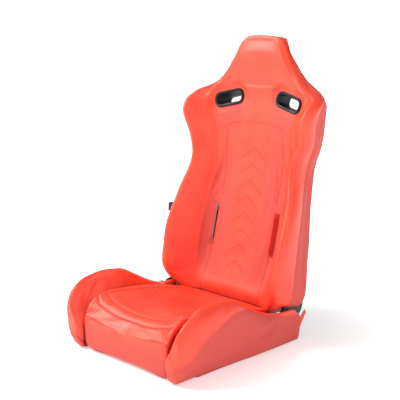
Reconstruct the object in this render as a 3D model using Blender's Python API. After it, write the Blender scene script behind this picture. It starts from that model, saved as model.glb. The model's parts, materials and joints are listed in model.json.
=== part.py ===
"""Reclining racing seat: seat base, backrest and recline lever, in metres, +Z up, facing -Y."""
import math

import bpy
import bmesh
from mathutils import Vector
from mathutils.geometry import convex_hull_2d

# Driving dimensions
PIVOT = Vector((0.0, 0.205, 0.118))      # recline axis, along X
REST_TILT = math.radians(13.5)           # backrest leans back from vertical
GAP = 0.0003                             # kept between touching pieces
CENTRING = Vector((0.0, -0.0098, 0.0))   # brings the whole seat's box to the origin

# Backrest outlines: (height up the backrest, value)
CREST_HALF_WIDTH = ((-0.038, 0.180), (-0.004, 0.190), (0.0, 0.234), (0.04, 0.257), (0.16, 0.265),
                    (0.30, 0.253), (0.42, 0.229), (0.54, 0.263), (0.62, 0.276), (0.655, 0.267),
                    (0.70, 0.184), (0.745, 0.138), (0.79, 0.109), (0.832, 0.088), (0.85, 0.070))
CREST_FORWARD = ((-0.038, 0.050), (-0.02, 0.064), (-0.004, 0.088), (0.0, 0.104), (0.04, 0.143),
                 (0.16, 0.154), (0.30, 0.132), (0.42, 0.117), (0.50, 0.122), (0.58, 0.155),
                 (0.62, 0.142), (0.655, 0.107), (0.70, 0.088), (0.79, 0.109), (0.832, 0.108),
                 (0.85, 0.095))
REAR_HALF_WIDTH = ((-0.038, 0.170), (-0.004, 0.180), (0.0, 0.242), (0.05, 0.240), (0.17, 0.232),
                   (0.33, 0.210), (0.45, 0.202), (0.56, 0.234), (0.64, 0.240), (0.68, 0.218),
                   (0.714, 0.163), (0.745, 0.132), (0.80, 0.098), (0.85, 0.062))
REAR_FORWARD = ((-0.038, -0.012), (0.0, -0.020), (0.03, -0.034), (0.48, -0.032), (0.56, -0.006),
                (0.64, 0.010), (0.69, 0.012), (0.745, 0.026), (0.80, 0.050), (0.85, 0.066))
CENTRE_FORWARD = ((-0.038, 0.048), (0.0, 0.063), (0.06, 0.055), (0.12, 0.047), (0.46, 0.045),
                  (0.53, 0.050), (0.565, 0.066), (0.63, 0.060), (0.67, 0.066), (0.711, 0.0935),
                  (0.755, 0.107), (0.80, 0.119), (0.835, 0.114), (0.85, 0.096))
PANEL_HALF_WIDTH = 0.150
PANEL_TOP = 0.50
SLOT_VALLEY = 0.008                      # how far the valley beside the panel sinks
POCKET_FLOOR = ((0.0, 0.002), (0.43, 0.002), (0.56, 0.026))
POCKET_TOP = 0.60
LIP = 0.010                              # cover edge round the pocket
BACK_STATIONS = 34
PANEL_UP = (0.045, 0.805)                # reach of the rear panel
PANEL_THICKNESS = 0.003

# Seat outlines: (distance along Y, value)
SEAT_REAR = 0.130
SEAT_HALF_WIDTH = 0.190
NOSE_BACK = -0.240
FOAM_UNDERSIDE = 0.052
SKIRT_UNDERSIDE = 0.007
SEAT_CENTRE_TOP = ((-0.318, 0.112), (-0.30, 0.136), (-0.26, 0.142), (-0.20, 0.139), (-0.10, 0.129),
                   (0.0, 0.121), (0.10, 0.118), (0.118, 0.114), (0.130, 0.104))
SEAT_EDGE_TOP = ((-0.318, 0.132), (-0.30, 0.160), (-0.26, 0.168), (-0.18, 0.167), (-0.10, 0.162),
                 (-0.02, 0.148), (0.03, 0.134), (0.085, 0.119), (0.112, 0.113), (0.130, 0.101))
BOLSTER_CREST = ((-0.345, 0.125), (-0.33, 0.166), (-0.30, 0.197), (-0.255, 0.218), (-0.19, 0.225),
                 (-0.117, 0.216), (-0.05, 0.182), (-0.013, 0.159), (0.034, 0.136), (0.06, 0.127),
                 (0.09, 0.120), (0.15, 0.117), (0.185, 0.110), (0.205, 0.094), (0.218, 0.084))
BOLSTER_BOTTOM = ((-0.345, 0.085), (-0.335, 0.045), (-0.318, 0.015), (-0.300, 0.007), (0.218, 0.007))
BOLSTER_OUTER = ((-0.345, 0.246), (-0.32, 0.264), (-0.27, 0.271), (0.0, 0.269), (0.10, 0.262),
                 (0.218, 0.251))
BOLSTER_FOOT = ((-0.345, 0.226), (-0.30, 0.222), (-0.10, 0.232), (0.05, 0.242), (0.218, 0.244))
BOLSTER_INNER = ((-0.345, 0.216), (-0.30, 0.2015), (-0.24, 0.1915), (0.0, 0.1915), (0.05, 0.210),
                 (0.09, 0.2392), (0.218, 0.2392))
# where the bolster's inner side meets the cushion, at the front
BOLSTER_JOIN = ((-0.345, 0.100), (-0.33, 0.104), (-0.30, 0.116), (-0.26, 0.142), (-0.22, 0.166))

# Base frame
RAIL_INNER = 0.2041
RAIL_OUTER = 0.2241
RAIL_HEIGHT = 0.025
RAIL_WALL = 0.002
RAIL_Y = (-0.230, 0.222)
MOUNT_Y = (-0.170, 0.120)
MOUNT_HOLE_RADIUS = 0.0045
CROSS_RADIUS = 0.011
CROSS_Y = (-0.212, 0.095)
SPRING_WIRE = 0.0018

# Recliner stack, distances from the middle plane
PLATE = 0.004
PLATE_TOP = 0.155
UPPER_PLATE_X = 0.2098
UPPER_DISC_X = UPPER_PLATE_X + PLATE + GAP
LOWER_DISC_X = UPPER_DISC_X + 0.005
LOWER_PLATE_X = RAIL_OUTER + GAP
COVER_X = LOWER_PLATE_X + PLATE + GAP
COVER_DEPTH = 0.0092
DISC_RADIUS = 0.033
COVER_RADIUS = 0.041
SHAFT_RADIUS = 0.006
BOLT_HEAD = 0.0052
SHAFT_HOLE_RADIUS = 0.0070
SHAFT_ROOM_RADIUS = 0.012
RECLINER_CLEARANCE = 0.046
RECLINER_ROOM_X = (0.196, 0.2392)        # room in the foam round the discs and covers
PLATE_ROOM_X = (0.196, 0.2225)           # room in the foam round the upper plate
CUT_OVERRUN = 0.01                       # how far a bore's cutter passes the plate

# Backrest frame
TUBE_RADIUS = 0.0095
TUBE_WALL = 0.0015
FRAME_FORWARD = ((0.0, -0.016), (0.43, -0.016), (0.56, 0.012))
HOOP_TOP = 0.565
HEAD_HOOP_HALF_WIDTH = 0.052
HEAD_HOOP_RADIUS = 0.006
HEAD_ROOM_HALF_WIDTH = 0.066
HEAD_ROOM = ((0.10, 0.560), (-0.028, 0.560), (-0.040, 0.650), (-0.052, 0.700), (-0.083, 0.785),
             (0.10, 0.785))
LOWER_TUBE_UP = 0.075
LOWER_TUBE_RADIUS = 0.008
UPRIGHT_PATH = ((0.004, 0.1998), (0.20, 0.1998), (0.33, 0.184), (0.45, 0.174), (0.515, 0.172))

# Slots: centre (across, up), half length, half height, slope
HARNESS_SLOT = {"across": 0.128, "up": 0.641, "half_length": 0.049, "half_height": 0.0175,
                "slope": math.radians(-15)}
HARNESS_FACE = (0.0615, 0.12)            # forward place at x = 0.075 and its rise per metre outward
HARNESS_TUNNEL = 0.0032                  # room between the bezel's bore and the foam
HARNESS_SEAT = 0.0110                    # flat land under the bezel's flange
TUNNEL_REACH = 0.20
SIDE_SLOT_UP = (0.136, 0.280)
SIDE_SLOT_FRONT = (0.122, 0.145)
SIDE_SLOT_REAR = (0.132, 0.166)

# Colours
RED = (0.86, 0.075, 0.045)
BLACK = (0.012, 0.012, 0.013)
DARK_STEEL = (0.035, 0.036, 0.038)
ZINC = (0.55, 0.56, 0.58)


def clear_scene():
    for item in list(bpy.data.objects):
        bpy.data.objects.remove(item, do_unlink=True)


def material(name, colour, roughness, metallic):
    result = bpy.data.materials.new(name)
    result.use_nodes = True
    shader = result.node_tree.nodes["Principled BSDF"]
    shader.inputs["Base Color"].default_value = (*colour, 1.0)
    shader.inputs["Roughness"].default_value = roughness
    shader.inputs["Metallic"].default_value = metallic
    return result


def leather(name):
    return material(name, RED, 0.38, 0.0)


def plastic(name):
    return material(name, BLACK, 0.42, 0.0)


def painted(name):
    return material(name, DARK_STEEL, 0.45, 0.6)


def plated(name):
    return material(name, ZINC, 0.3, 1.0)


def curve_value(points, place):
    """Smooth, overshoot-free curve through (place, value) points."""
    if place <= points[0][0]:
        return points[0][1]
    if place >= points[-1][0]:
        return points[-1][1]
    steps = [(b[1] - a[1]) / (b[0] - a[0]) for a, b in zip(points, points[1:])]
    slopes = [steps[0]]
    for before, after in zip(steps, steps[1:]):
        slopes.append(0.0 if before * after <= 0 else 2 * before * after / (before + after))
    slopes.append(steps[-1])
    index = max(i for i, point in enumerate(points[:-1]) if point[0] <= place)
    (start, low), (end, high) = points[index], points[index + 1]
    width = end - start
    t = (place - start) / width
    return ((2 * t ** 3 - 3 * t ** 2 + 1) * low + (t ** 3 - 2 * t ** 2 + t) * width * slopes[index]
            + (3 * t ** 2 - 2 * t ** 3) * high + (t ** 3 - t ** 2) * width * slopes[index + 1])


def spread(low, high, count):
    return [low + (high - low) * i / (count - 1) for i in range(count)]


def add_object(name, mesh_data, surface, parent=None, sharp=40.0):
    """Turn a bmesh into an object with its own material, placed under its parent."""
    bmesh.ops.recalc_face_normals(mesh_data, faces=mesh_data.faces)
    mesh = bpy.data.meshes.new(name)
    mesh_data.to_mesh(mesh)
    mesh_data.free()
    mesh.materials.append(surface)
    mesh.shade_smooth()
    mesh.set_sharp_from_angle(angle=math.radians(sharp))
    item = bpy.data.objects.new(name, mesh)
    bpy.context.collection.objects.link(item)
    item.parent = parent
    if parent is None:
        item.location = CENTRING
    return item


def empty(name, location, turn=0.0):
    item = bpy.data.objects.new(name, None)
    item.location = location + CENTRING
    item.rotation_euler = (turn, 0.0, 0.0)
    bpy.context.collection.objects.link(item)
    return item


def on_back(across, up, forward):
    """A point in the backrest's own frame, whose origin is the hinge."""
    return Vector((across, -forward, up))


def loft(name, rings, surface, parent=None, sharp=40.0, closed=False):
    """Skin closed rings of points; the ends are capped unless the loft itself is closed."""
    mesh_data = bmesh.new()
    rows = [[mesh_data.verts.new(point) for point in ring] for ring in rings]
    pairs = list(zip(rows, rows[1:]))
    if closed:
        pairs.append((rows[-1], rows[0]))
    for first, second in pairs:
        for i in range(len(first)):
            j = (i + 1) % len(first)
            mesh_data.faces.new((first[i], first[j], second[j], second[i]))
    if not closed:
        mesh_data.faces.new(rows[0][::-1])
        mesh_data.faces.new(rows[-1])
    return add_object(name, mesh_data, surface, parent, sharp)


def sweep_rings(path, radius, sides):
    """Rings of points round a path, without twist."""
    points = [Vector(point) for point in path]
    rings = []
    side = None
    for i, point in enumerate(points):
        ahead = points[min(i + 1, len(points) - 1)]
        behind = points[max(i - 1, 0)]
        along = (ahead - behind).normalized()
        if side is None:
            helper = Vector((0, 0, 1)) if abs(along.z) < 0.8 else Vector((1, 0, 0))
            side = along.cross(helper).normalized()
        side = (side - along * side.dot(along)).normalized()
        other = along.cross(side)
        turns = [2 * math.pi * (k + 0.5) / sides for k in range(sides)]
        rings.append([point + (side * math.cos(a) + other * math.sin(a)) * radius for a in turns])
    return rings


def rod(name, path, radius, surface, parent=None, sides=8):
    return loft(name, sweep_rings(path, radius, sides), surface, parent)


def tube(name, path, radius, wall, surface, parent=None, sides=10):
    """Hollow tube with open ends."""
    outer = sweep_rings(path, radius, sides)
    inner = sweep_rings(path, radius - wall, sides)
    return loft(name, outer + inner[::-1], surface, parent, closed=True)


def slab(name, outline, low, high, surface, parent=None, bevel=0.0):
    """Outline of (Y, Z) points given thickness along X."""
    rings = [[Vector((x, y, z)) for y, z in outline] for x in (low, high)]
    item = loft(name, rings, surface, parent)
    if bevel:
        rounding = item.modifiers.new("edges", "BEVEL")
        rounding.width = bevel
        rounding.segments = 1
        rounding.limit_method = "ANGLE"
        rounding.angle_limit = math.radians(50)
    return item


def circle(centre, radius, count=24):
    turns = [2 * math.pi * i / count for i in range(count)]
    return [(centre[0] + radius * math.cos(a), centre[1] + radius * math.sin(a)) for a in turns]


def hull(points):
    order = convex_hull_2d([Vector(point) for point in points])
    return [points[i] for i in order]


def cylinder(name, low, high, centre, radius, surface, parent=None, count=24):
    """Round disc or pin along X, centred on a (Y, Z) point."""
    return slab(name, circle(centre, radius, count), low, high, surface, parent)


def cut(item, cutter):
    """Subtract a cutter, which itself stays out of the finished part."""
    cutter.hide_render = True
    cutter.display_type = "WIRE"
    subtract = item.modifiers.new("cut_" + cutter.name, "BOOLEAN")
    subtract.operation = "DIFFERENCE"
    subtract.solver = "EXACT"
    subtract.object = cutter


def bore(item, low, high, centre, radius, parent=None):
    cut(item, cylinder("cutter_" + item.name, low, high, centre, radius, None, parent))


def back_ring(up):
    """Closed cross-section of the backrest foam at one height, pocket included."""
    crest = curve_value(CREST_HALF_WIDTH, up)
    crest_w = curve_value(CREST_FORWARD, up)
    rear = curve_value(REAR_HALF_WIDTH, up)
    rear_w = curve_value(REAR_FORWARD, up)
    centre = curve_value(CENTRE_FORWARD, up)
    groove = min(PANEL_HALF_WIDTH, 0.62 * crest)
    pocket = curve_value(POCKET_FLOOR, up) if up < POCKET_TOP else rear_w + 0.004
    sunk = SLOT_VALLEY if up < PANEL_TOP else 0.0
    reach, rise = crest - groove, crest_w - centre
    middle = 0.5 * (crest_w + rear_w)
    half = [(0.0, centre), (0.5 * groove, centre), (groove, centre - sunk),
            (groove + 0.30 * reach, centre + 0.40 * rise), (groove + 0.62 * reach, centre + 0.83 * rise),
            (crest - 0.014, crest_w), (crest, crest_w - 0.010), (crest + 0.006, crest_w - 0.032),
            (0.5 * (crest + rear) + 0.012, middle), (rear + 0.006, rear_w + 0.018), (rear, rear_w),
            (rear - LIP, rear_w), (rear - LIP, pocket), (0.5 * rear, pocket), (0.0, pocket)]
    other = [(-x, w) for x, w in half[-2:0:-1]]
    return [on_back(x, up, w) for x, w in half + other]


def back_heights():
    foot = [-0.038, -0.02, -0.004, 0.0]
    heights = foot + spread(0.014, CREST_HALF_WIDTH[-1][0], BACK_STATIONS)
    heights = [h for h in heights if abs(h - POCKET_TOP) > 0.006]
    return sorted(heights + [POCKET_TOP - 0.0005, POCKET_TOP + 0.0005])


def slot_outline(side, margin, corner=0.013, per_corner=4):
    """Rounded, sloping slot as (across, up) points."""
    slot = HARNESS_SLOT
    length, height = slot["half_length"] + margin, slot["half_height"] + margin
    radius = corner + margin
    points = []
    for quarter in range(4):
        centre_x = (length - radius) * (1 if quarter in (0, 3) else -1)
        centre_z = (height - radius) * (1 if quarter in (0, 1) else -1)
        for step in range(per_corner):
            angle = math.pi / 2 * (quarter + step / (per_corner - 1))
            x, z = centre_x + radius * math.cos(angle), centre_z + radius * math.sin(angle)
            turned_x = x * math.cos(slot["slope"]) - z * math.sin(slot["slope"])
            turned_z = x * math.sin(slot["slope"]) + z * math.cos(slot["slope"])
            points.append((side * (slot["across"] + turned_x), slot["up"] + turned_z))
    return points


def slot_face(across, up):
    return HARNESS_FACE[0] + HARNESS_FACE[1] * (abs(across) - 0.075)


def slot_ring(side, margin, forward):
    """Slot outline at a forward place: a number or a function of (across, up)."""
    place = forward if callable(forward) else (lambda across, up: forward)
    return [on_back(x, z, place(x, z)) for x, z in slot_outline(side, margin)]


def side_slot_cutter(name, side, back):
    """Wedge whose rear mouth lies further out than its front mouth."""
    rings = []
    for up in SIDE_SLOT_UP:
        (front_in, front_out), (rear_in, rear_out) = SIDE_SLOT_FRONT, SIDE_SLOT_REAR
        ring = [(front_in, 0.12), (front_out, 0.12), (front_out, 0.045), (rear_out, -0.03),
                (rear_out, -0.08), (rear_in, -0.08), (rear_in, -0.03), (front_in, 0.045)]
        rings.append([on_back(side * x, up, w) for x, w in ring])
    return loft(name, rings, None, back)


def make_backrest_foam(back):
    foam = loft("backrest_cushion", [back_ring(up) for up in back_heights()],
                leather("backrest_leather"), back, sharp=60.0)
    for label, side in (("left", -1), ("right", 1)):
        tunnel = [slot_ring(side, HARNESS_TUNNEL, reach) for reach in (TUNNEL_REACH, -TUNNEL_REACH)]
        cut(foam, loft("cutter_harness_" + label, tunnel, None, back))
        flat = [slot_ring(side, HARNESS_SEAT, place) for place in (TUNNEL_REACH, slot_face)]
        cut(foam, loft("cutter_bezel_" + label, flat, None, back))
        cut(foam, side_slot_cutter("cutter_side_slot_" + label, side, back))
        room = hull(circle((0.0, 0.0), RECLINER_CLEARANCE, 32) + [(-0.082, -0.026), (-0.082, -0.06)])
        low, high = sorted(side * x for x in RECLINER_ROOM_X)
        cut(foam, slab("cutter_recliner_" + label, room, low, high, None, back))
        plate_room = hull(room + [(-0.008, PLATE_TOP + 0.010), (0.040, PLATE_TOP + 0.010)])
        low, high = sorted(side * x for x in PLATE_ROOM_X)
        cut(foam, slab("cutter_plate_" + label, plate_room, low, high, None, back))
    cut(foam, cylinder("cutter_shaft", -0.300, 0.300, (0.0, 0.0), SHAFT_ROOM_RADIUS, None, back))
    cut(foam, slab("cutter_head_hoop", HEAD_ROOM, -HEAD_ROOM_HALF_WIDTH, HEAD_ROOM_HALF_WIDTH, None,
                   back))
    return foam


def make_back_frame(back):
    uprights = [(x, up) for up, x in ((u, curve_value(UPRIGHT_PATH, u)) for u in
                                      spread(UPRIGHT_PATH[0][0], UPRIGHT_PATH[-1][0], 13))]
    top_x = uprights[-1][0]
    corner = HOOP_TOP - uprights[-1][1]
    bend = [(top_x - corner * (1 - math.cos(a)), uprights[-1][1] + corner * math.sin(a))
            for a in (math.pi / 2 * i / 5 for i in range(1, 6))]
    half = uprights + bend
    outline = half + [(-x, up) for x, up in reversed(half)]
    path = [on_back(x, up, curve_value(FRAME_FORWARD, up)) for x, up in outline]
    tube("back_frame_hoop", path, TUBE_RADIUS, TUBE_WALL, painted("hoop_paint"), back)
    reach = curve_value(UPRIGHT_PATH, 0.06) - TUBE_RADIUS - GAP
    path = [on_back(x, LOWER_TUBE_UP, FRAME_FORWARD[0][1]) for x in (-reach, 0.0, reach)]
    tube("back_frame_lower_tube", path, LOWER_TUBE_RADIUS, TUBE_WALL, painted("lower_tube_paint"), back)
    reach, bend = HEAD_HOOP_HALF_WIDTH, 0.018
    sides = [(reach, HOOP_TOP + TUBE_RADIUS + GAP, 0.014), (reach, 0.640, 0.029),
             (reach, 0.700, 0.040), (reach, 0.750, 0.060)]
    turns = (math.pi / 6, math.pi / 3, math.pi / 2)
    top = [(reach - bend * (1 - math.cos(a)), 0.750 + bend * math.sin(a), 0.060 + 0.008 * math.sin(a))
           for a in turns]
    half = sides + top
    path = half + [(-x, up, w) for x, up, w in reversed(half)]
    tube("head_frame_hoop", [on_back(*point) for point in path], HEAD_HOOP_RADIUS, 0.0012,
         painted("head_hoop_paint"), back)


def wave_path(start, end, swing, direction, bow, turns, per_turn=6):
    """Flat sinuous wire from start to end, bowed to one side."""
    start, end = Vector(start), Vector(end)
    count = turns * per_turn
    points = []
    for i in range(count + 1):
        t = i / count
        fade = min(1.0, 6 * t, 6 * (1 - t))
        sway = swing * fade * math.sin(2 * math.pi * turns * t)
        points.append(start.lerp(end, t) + Vector(direction) * sway + Vector(bow) * math.sin(math.pi * t))
    return points


def make_back_springs(back):
    low = LOWER_TUBE_UP + LOWER_TUBE_RADIUS + GAP + 0.001
    high = HOOP_TOP - TUBE_RADIUS - GAP - 0.001
    rear_w, front_w = FRAME_FORWARD[0][1], FRAME_FORWARD[-1][1] - 0.003
    for label, across in (("left", -0.062), ("middle", 0.0), ("right", 0.062)):
        path = wave_path(on_back(across, low, rear_w), on_back(across, high, front_w),
                         0.017, (1, 0, 0), (0, 0.008, 0), 7)
        rod("back_spring_" + label, path, SPRING_WIRE, plated("back_spring_steel_" + label), back, 6)


def panel_face(across, up):
    """Forward place of the rear panel's outer face."""
    half_width = curve_value(REAR_HALF_WIDTH, up) - 0.003
    dome = 0.006 * max(0.0, 1 - (across / half_width) ** 2)
    return curve_value(REAR_FORWARD, up) - GAP - PANEL_THICKNESS - dome


def panel_ring(up, half_width):
    across = spread(-half_width, half_width, 11)
    inner = [on_back(x, up, panel_face(x, up) + PANEL_THICKNESS) for x in across]
    outer = [on_back(x, up, panel_face(x, up)) for x in across]
    return inner + outer[::-1]


def make_back_panel(back):
    rings = []
    heights = [up for up in back_heights() if PANEL_UP[0] < up < PANEL_UP[1]]
    for up in heights:
        narrow = 0.012 if up in (heights[0], heights[-1]) else 0.003
        rings.append(panel_ring(up, curve_value(REAR_HALF_WIDTH, up) - narrow))
    panel = loft("back_panel", rings, plastic("panel_plastic"), back, sharp=50.0)
    for label, side in (("left", -1), ("right", 1)):
        tunnel = [slot_ring(side, HARNESS_TUNNEL, reach) for reach in (TUNNEL_REACH, -TUNNEL_REACH)]
        cut(panel, loft("cutter_panel_harness_" + label, tunnel, None, back))
        cut(panel, side_slot_cutter("cutter_panel_side_" + label, side, back))
    places = (("lower_left", -0.19, 0.10), ("lower_right", 0.19, 0.10),
              ("upper_left", -0.185, 0.50), ("upper_right", 0.185, 0.50))
    for label, across, up in places:
        seat = panel_face(across, up)
        rings = []
        for radius, out in ((0.0062, 0.0014), (0.0062, 0.0021), (0.0048, 0.0034), (0.0018, 0.0038)):
            points = circle((across, up), radius, 10)
            rings.append([on_back(x, z, seat - out) for x, z in points])
        loft("panel_screw_" + label, rings, plated("panel_screw_steel_" + label), back)


def raised(face, lift):
    """The same face, lifted forward."""
    return lambda across, up: face(across, up) + lift


def make_harness_bezels(back):
    for label, side in (("left", -1), ("right", 1)):
        rear = raised(panel_face, 0.0006)
        rings = [slot_ring(side, 0.0, rear), slot_ring(side, 0.0, raised(slot_face, 0.0020)),
                 slot_ring(side, 0.0012, raised(slot_face, 0.0042)),
                 slot_ring(side, 0.0060, raised(slot_face, 0.0052)),
                 slot_ring(side, 0.0092, raised(slot_face, 0.0036)),
                 slot_ring(side, 0.0102, raised(slot_face, GAP)),
                 slot_ring(side, 0.0028, raised(slot_face, GAP)), slot_ring(side, 0.0028, rear)]
        loft("harness_bezel_" + label, rings, plastic("bezel_plastic_" + label), back, closed=True)
        rings = [slot_ring(side, 0.0005, raised(panel_face, -0.0012)),
                 slot_ring(side, 0.0092, raised(panel_face, -0.0012)),
                 slot_ring(side, 0.0086, raised(panel_face, -0.0042)),
                 slot_ring(side, 0.0015, raised(panel_face, -0.0042))]
        loft("harness_rear_ring_" + label, rings, plastic("rear_ring_plastic_" + label), back, closed=True)


def make_side_tab(back):
    up, forward = 0.240, 0.122
    across = -curve_value(CREST_HALF_WIDTH, up) - 0.0058
    width, height, thick = 0.019, 0.030, 0.0022
    rings = []
    for reach in (0.0, 0.5 * width, width):
        ring = [(up - height / 2, -thick / 2), (up + height / 2, -thick / 2),
                (up + height / 2, thick / 2), (up - height / 2, thick / 2)]
        rings.append([on_back(across - reach, z - 0.25 * reach, forward + w - 0.2 * reach)
                      for z, w in ring])
    loft("side_tab", rings, material("side_tab_webbing", BLACK, 0.9, 0.0), back)


def make_upper_recliners(back):
    for label, side in (("left", -1), ("right", 1)):
        outline = hull(circle((0.0, 0.0), 0.034) + [(0.0, PLATE_TOP), (0.026, PLATE_TOP)])
        low, high = sorted((side * UPPER_PLATE_X, side * (UPPER_PLATE_X + PLATE)))
        plate = slab("recliner_upper_plate_" + label, outline, low, high,
                     painted("upper_plate_" + label), back)
        bore(plate, low - CUT_OVERRUN, high + CUT_OVERRUN, (0.0, 0.0), SHAFT_HOLE_RADIUS, back)
        low, high = sorted((side * UPPER_DISC_X, side * (UPPER_DISC_X + 0.0047)))
        disc = cylinder("recliner_upper_disc_" + label, low, high, (0.0, 0.0), DISC_RADIUS,
                        plated("upper_disc_" + label), back, 32)
        bore(disc, low - CUT_OVERRUN, high + CUT_OVERRUN, (0.0, 0.0), SHAFT_HOLE_RADIUS, back)
        for place, up in (("low", 0.085), ("high", 0.135)):
            outline = circle((-FRAME_FORWARD[0][1], up), 0.0062, 6)
            low, high = sorted((side * (UPPER_PLATE_X + PLATE + GAP), side * (UPPER_PLATE_X + 0.0092)))
            slab("recliner_bolt_" + place + "_" + label, outline, low, high,
                 plated("recliner_bolt_" + place + "_" + label), back)


def seat_ring(y):
    """Closed cross-section of the centre cushion at one place along Y."""
    middle, edge = curve_value(SEAT_CENTRE_TOP, y), curve_value(SEAT_EDGE_TOP, y)
    nose = curve_value(((-0.318, 0.020), (-0.312, 0.010), (-0.304, SKIRT_UNDERSIDE)), y)
    bottom = nose if y < NOSE_BACK else FOAM_UNDERSIDE
    half_width = curve_value(((-0.318, 0.165), (-0.305, 0.186), (-0.28, SEAT_HALF_WIDTH)), y)
    lower_width = half_width - 0.012
    top = []
    for part in spread(0.0, 1.0, 7):
        top.append((part * (half_width - 0.004), middle + (edge - middle) * part ** 2.2))
    half = top + [(half_width, edge - 0.010), (half_width, 0.5 * (edge + bottom)),
                  (lower_width, bottom), (0.5 * lower_width, bottom), (0.0, bottom)]
    other = [(-x, z) for x, z in half[-2:0:-1]]
    return [Vector((x, y, z)) for x, z in half + other]


def make_seat_cushion():
    places = [-0.318, -0.312, -0.302, -0.288, -0.270, NOSE_BACK - 0.0005, NOSE_BACK + 0.0005]
    places += spread(-0.215, SEAT_REAR, 14)
    loft("seat_cushion", [seat_ring(y) for y in places], leather("seat_leather"), None, 60.0)


def bolster_ring(y, side):
    """Closed cross-section of a seat bolster, a thin skirt beside the recliner."""
    crest, bottom = curve_value(BOLSTER_CREST, y), curve_value(BOLSTER_BOTTOM, y)
    outer, inner = curve_value(BOLSTER_OUTER, y), curve_value(BOLSTER_INNER, y)
    join = min(curve_value(SEAT_EDGE_TOP, y), curve_value(BOLSTER_JOIN, y), crest - 0.004)
    fall = 0.25 if y > NOSE_BACK else 0.45
    notch = max(inner + 0.002, RAIL_OUTER + 0.0052) if y > NOSE_BACK else inner + 0.002
    ledge = 0.036 if y > NOSE_BACK else bottom + 0.35 * (join - bottom)
    foot, span, tall = curve_value(BOLSTER_FOOT, y), outer - inner, crest - bottom
    ring = [(foot, bottom), (outer - 0.3 * (outer - foot), bottom + 0.24 * tall),
            (outer, bottom + 0.55 * tall), (outer - 0.03 * span, crest - 0.15 * tall),
            (outer - 0.14 * span, crest - 0.03 * tall), (outer - 0.34 * span, crest),
            (inner + 0.36 * span, crest - fall * (crest - join)), (inner, join),
            (inner, ledge + 0.0005), (notch, ledge), (notch, bottom)]
    return [Vector((side * x, y, z)) for x, z in ring]


def make_seat_bolsters():
    places = [-0.345, -0.340, -0.330, -0.315, -0.295, -0.270, NOSE_BACK - 0.0005, NOSE_BACK + 0.0005]
    places += spread(-0.215, 0.090, 13) + [0.120, 0.150, 0.172, 0.185, 0.197, 0.208, 0.218]
    for label, side in (("left", -1), ("right", 1)):
        loft("seat_bolster_" + label, [bolster_ring(y, side) for y in places],
             leather("bolster_leather_" + label), None, 60.0)


def make_rails():
    for label, side in (("left", -1), ("right", 1)):
        rings = []
        for inset, places in ((0.0, RAIL_Y), (RAIL_WALL, RAIL_Y[::-1])):
            for y in places:
                low, high = side * (RAIL_INNER + inset), side * (RAIL_OUTER - inset)
                top = RAIL_HEIGHT - inset
                corners = ((low, inset), (high, inset), (high, top), (low, top))
                rings.append([Vector((x, y, z)) for x, z in corners])
        rail = loft("base_rail_" + label, rings, painted("rail_paint_" + label), None, closed=True)
        centre = side * 0.5 * (RAIL_INNER + RAIL_OUTER)
        for place, y in zip(("front", "rear"), MOUNT_Y):
            hole = [[Vector((x, v, z)) for x, v in circle((centre, y), MOUNT_HOLE_RADIUS, 16)]
                    for z in (-0.01, 0.006)]
            cut(rail, loft("cutter_hole_" + place + "_" + label, hole, None))
            make_mount_nut(place + "_" + label, centre, y)


def make_mount_nut(label, centre, y):
    low, high = RAIL_WALL + GAP, RAIL_WALL + GAP + 0.0065
    outside = [(y + dy, centre + dx) for dx, dy in circle((0.0, 0.0), 0.0075, 6)]
    thread = [(y + dy, centre + dx) for dx, dy in circle((0.0, 0.0), 0.0034, 6)]
    rings = []
    for outline, places in ((outside, (low, high)), (thread, (high, low))):
        for z in places:
            rings.append([Vector((x, v, z)) for v, x in outline])
    loft("mount_nut_" + label, rings, plated("mount_nut_steel_" + label), None, closed=True)


def make_cross_tubes():
    reach = RAIL_INNER - GAP
    for label, y in zip(("front", "rear"), CROSS_Y):
        path = [(x, y, CROSS_RADIUS + 0.002) for x in (-reach, 0.0, reach)]
        tube("base_cross_tube_" + label, path, CROSS_RADIUS, TUBE_WALL,
             painted("cross_tube_paint_" + label), None, 12)


def make_seat_springs():
    height = 2 * CROSS_RADIUS + 0.002 + GAP + SPRING_WIRE + 0.0004
    for i, across in enumerate((-0.135, -0.045, 0.045, 0.135)):
        path = wave_path((across, CROSS_Y[0], height), (across, CROSS_Y[1], height),
                         0.020, (1, 0, 0), (0, 0, 0.018), 5)
        rod("seat_spring_" + str(i + 1), path, SPRING_WIRE, plated("seat_spring_steel_" + str(i + 1)),
            None, 6)


def make_lower_recliners():
    centre = (PIVOT.y, PIVOT.z)
    for label, side in (("left", -1), ("right", 1)):
        outline = hull(circle(centre, 0.036) + [(0.075, 0.003), (0.212, 0.003), (0.075, 0.030)])
        low, high = sorted((side * LOWER_PLATE_X, side * (LOWER_PLATE_X + PLATE)))
        plate = slab("recliner_lower_plate_" + label, outline, low, high, painted("lower_plate_" + label))
        bore(plate, low - CUT_OVERRUN, high + CUT_OVERRUN, centre, SHAFT_HOLE_RADIUS)
        low, high = sorted((side * (LOWER_DISC_X + GAP), side * (LOWER_PLATE_X - GAP)))
        disc = cylinder("recliner_lower_disc_" + label, low, high, centre, DISC_RADIUS,
                        plated("lower_disc_" + label), None, 32)
        bore(disc, low - CUT_OVERRUN, high + CUT_OVERRUN, centre, SHAFT_HOLE_RADIUS)
        for place, y in (("front", 0.095), ("rear", 0.185)):
            head = (LOWER_PLATE_X + PLATE + GAP, LOWER_PLATE_X + PLATE + BOLT_HEAD)
            low, high = sorted(side * x for x in head)
            slab("base_bolt_" + place + "_" + label, circle((y, 0.0135), 0.0062, 6), low, high,
                 plated("base_bolt_" + place + "_" + label))
        make_spiral_spring(label, side, centre)
        make_recliner_cover(label, side, centre)


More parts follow.
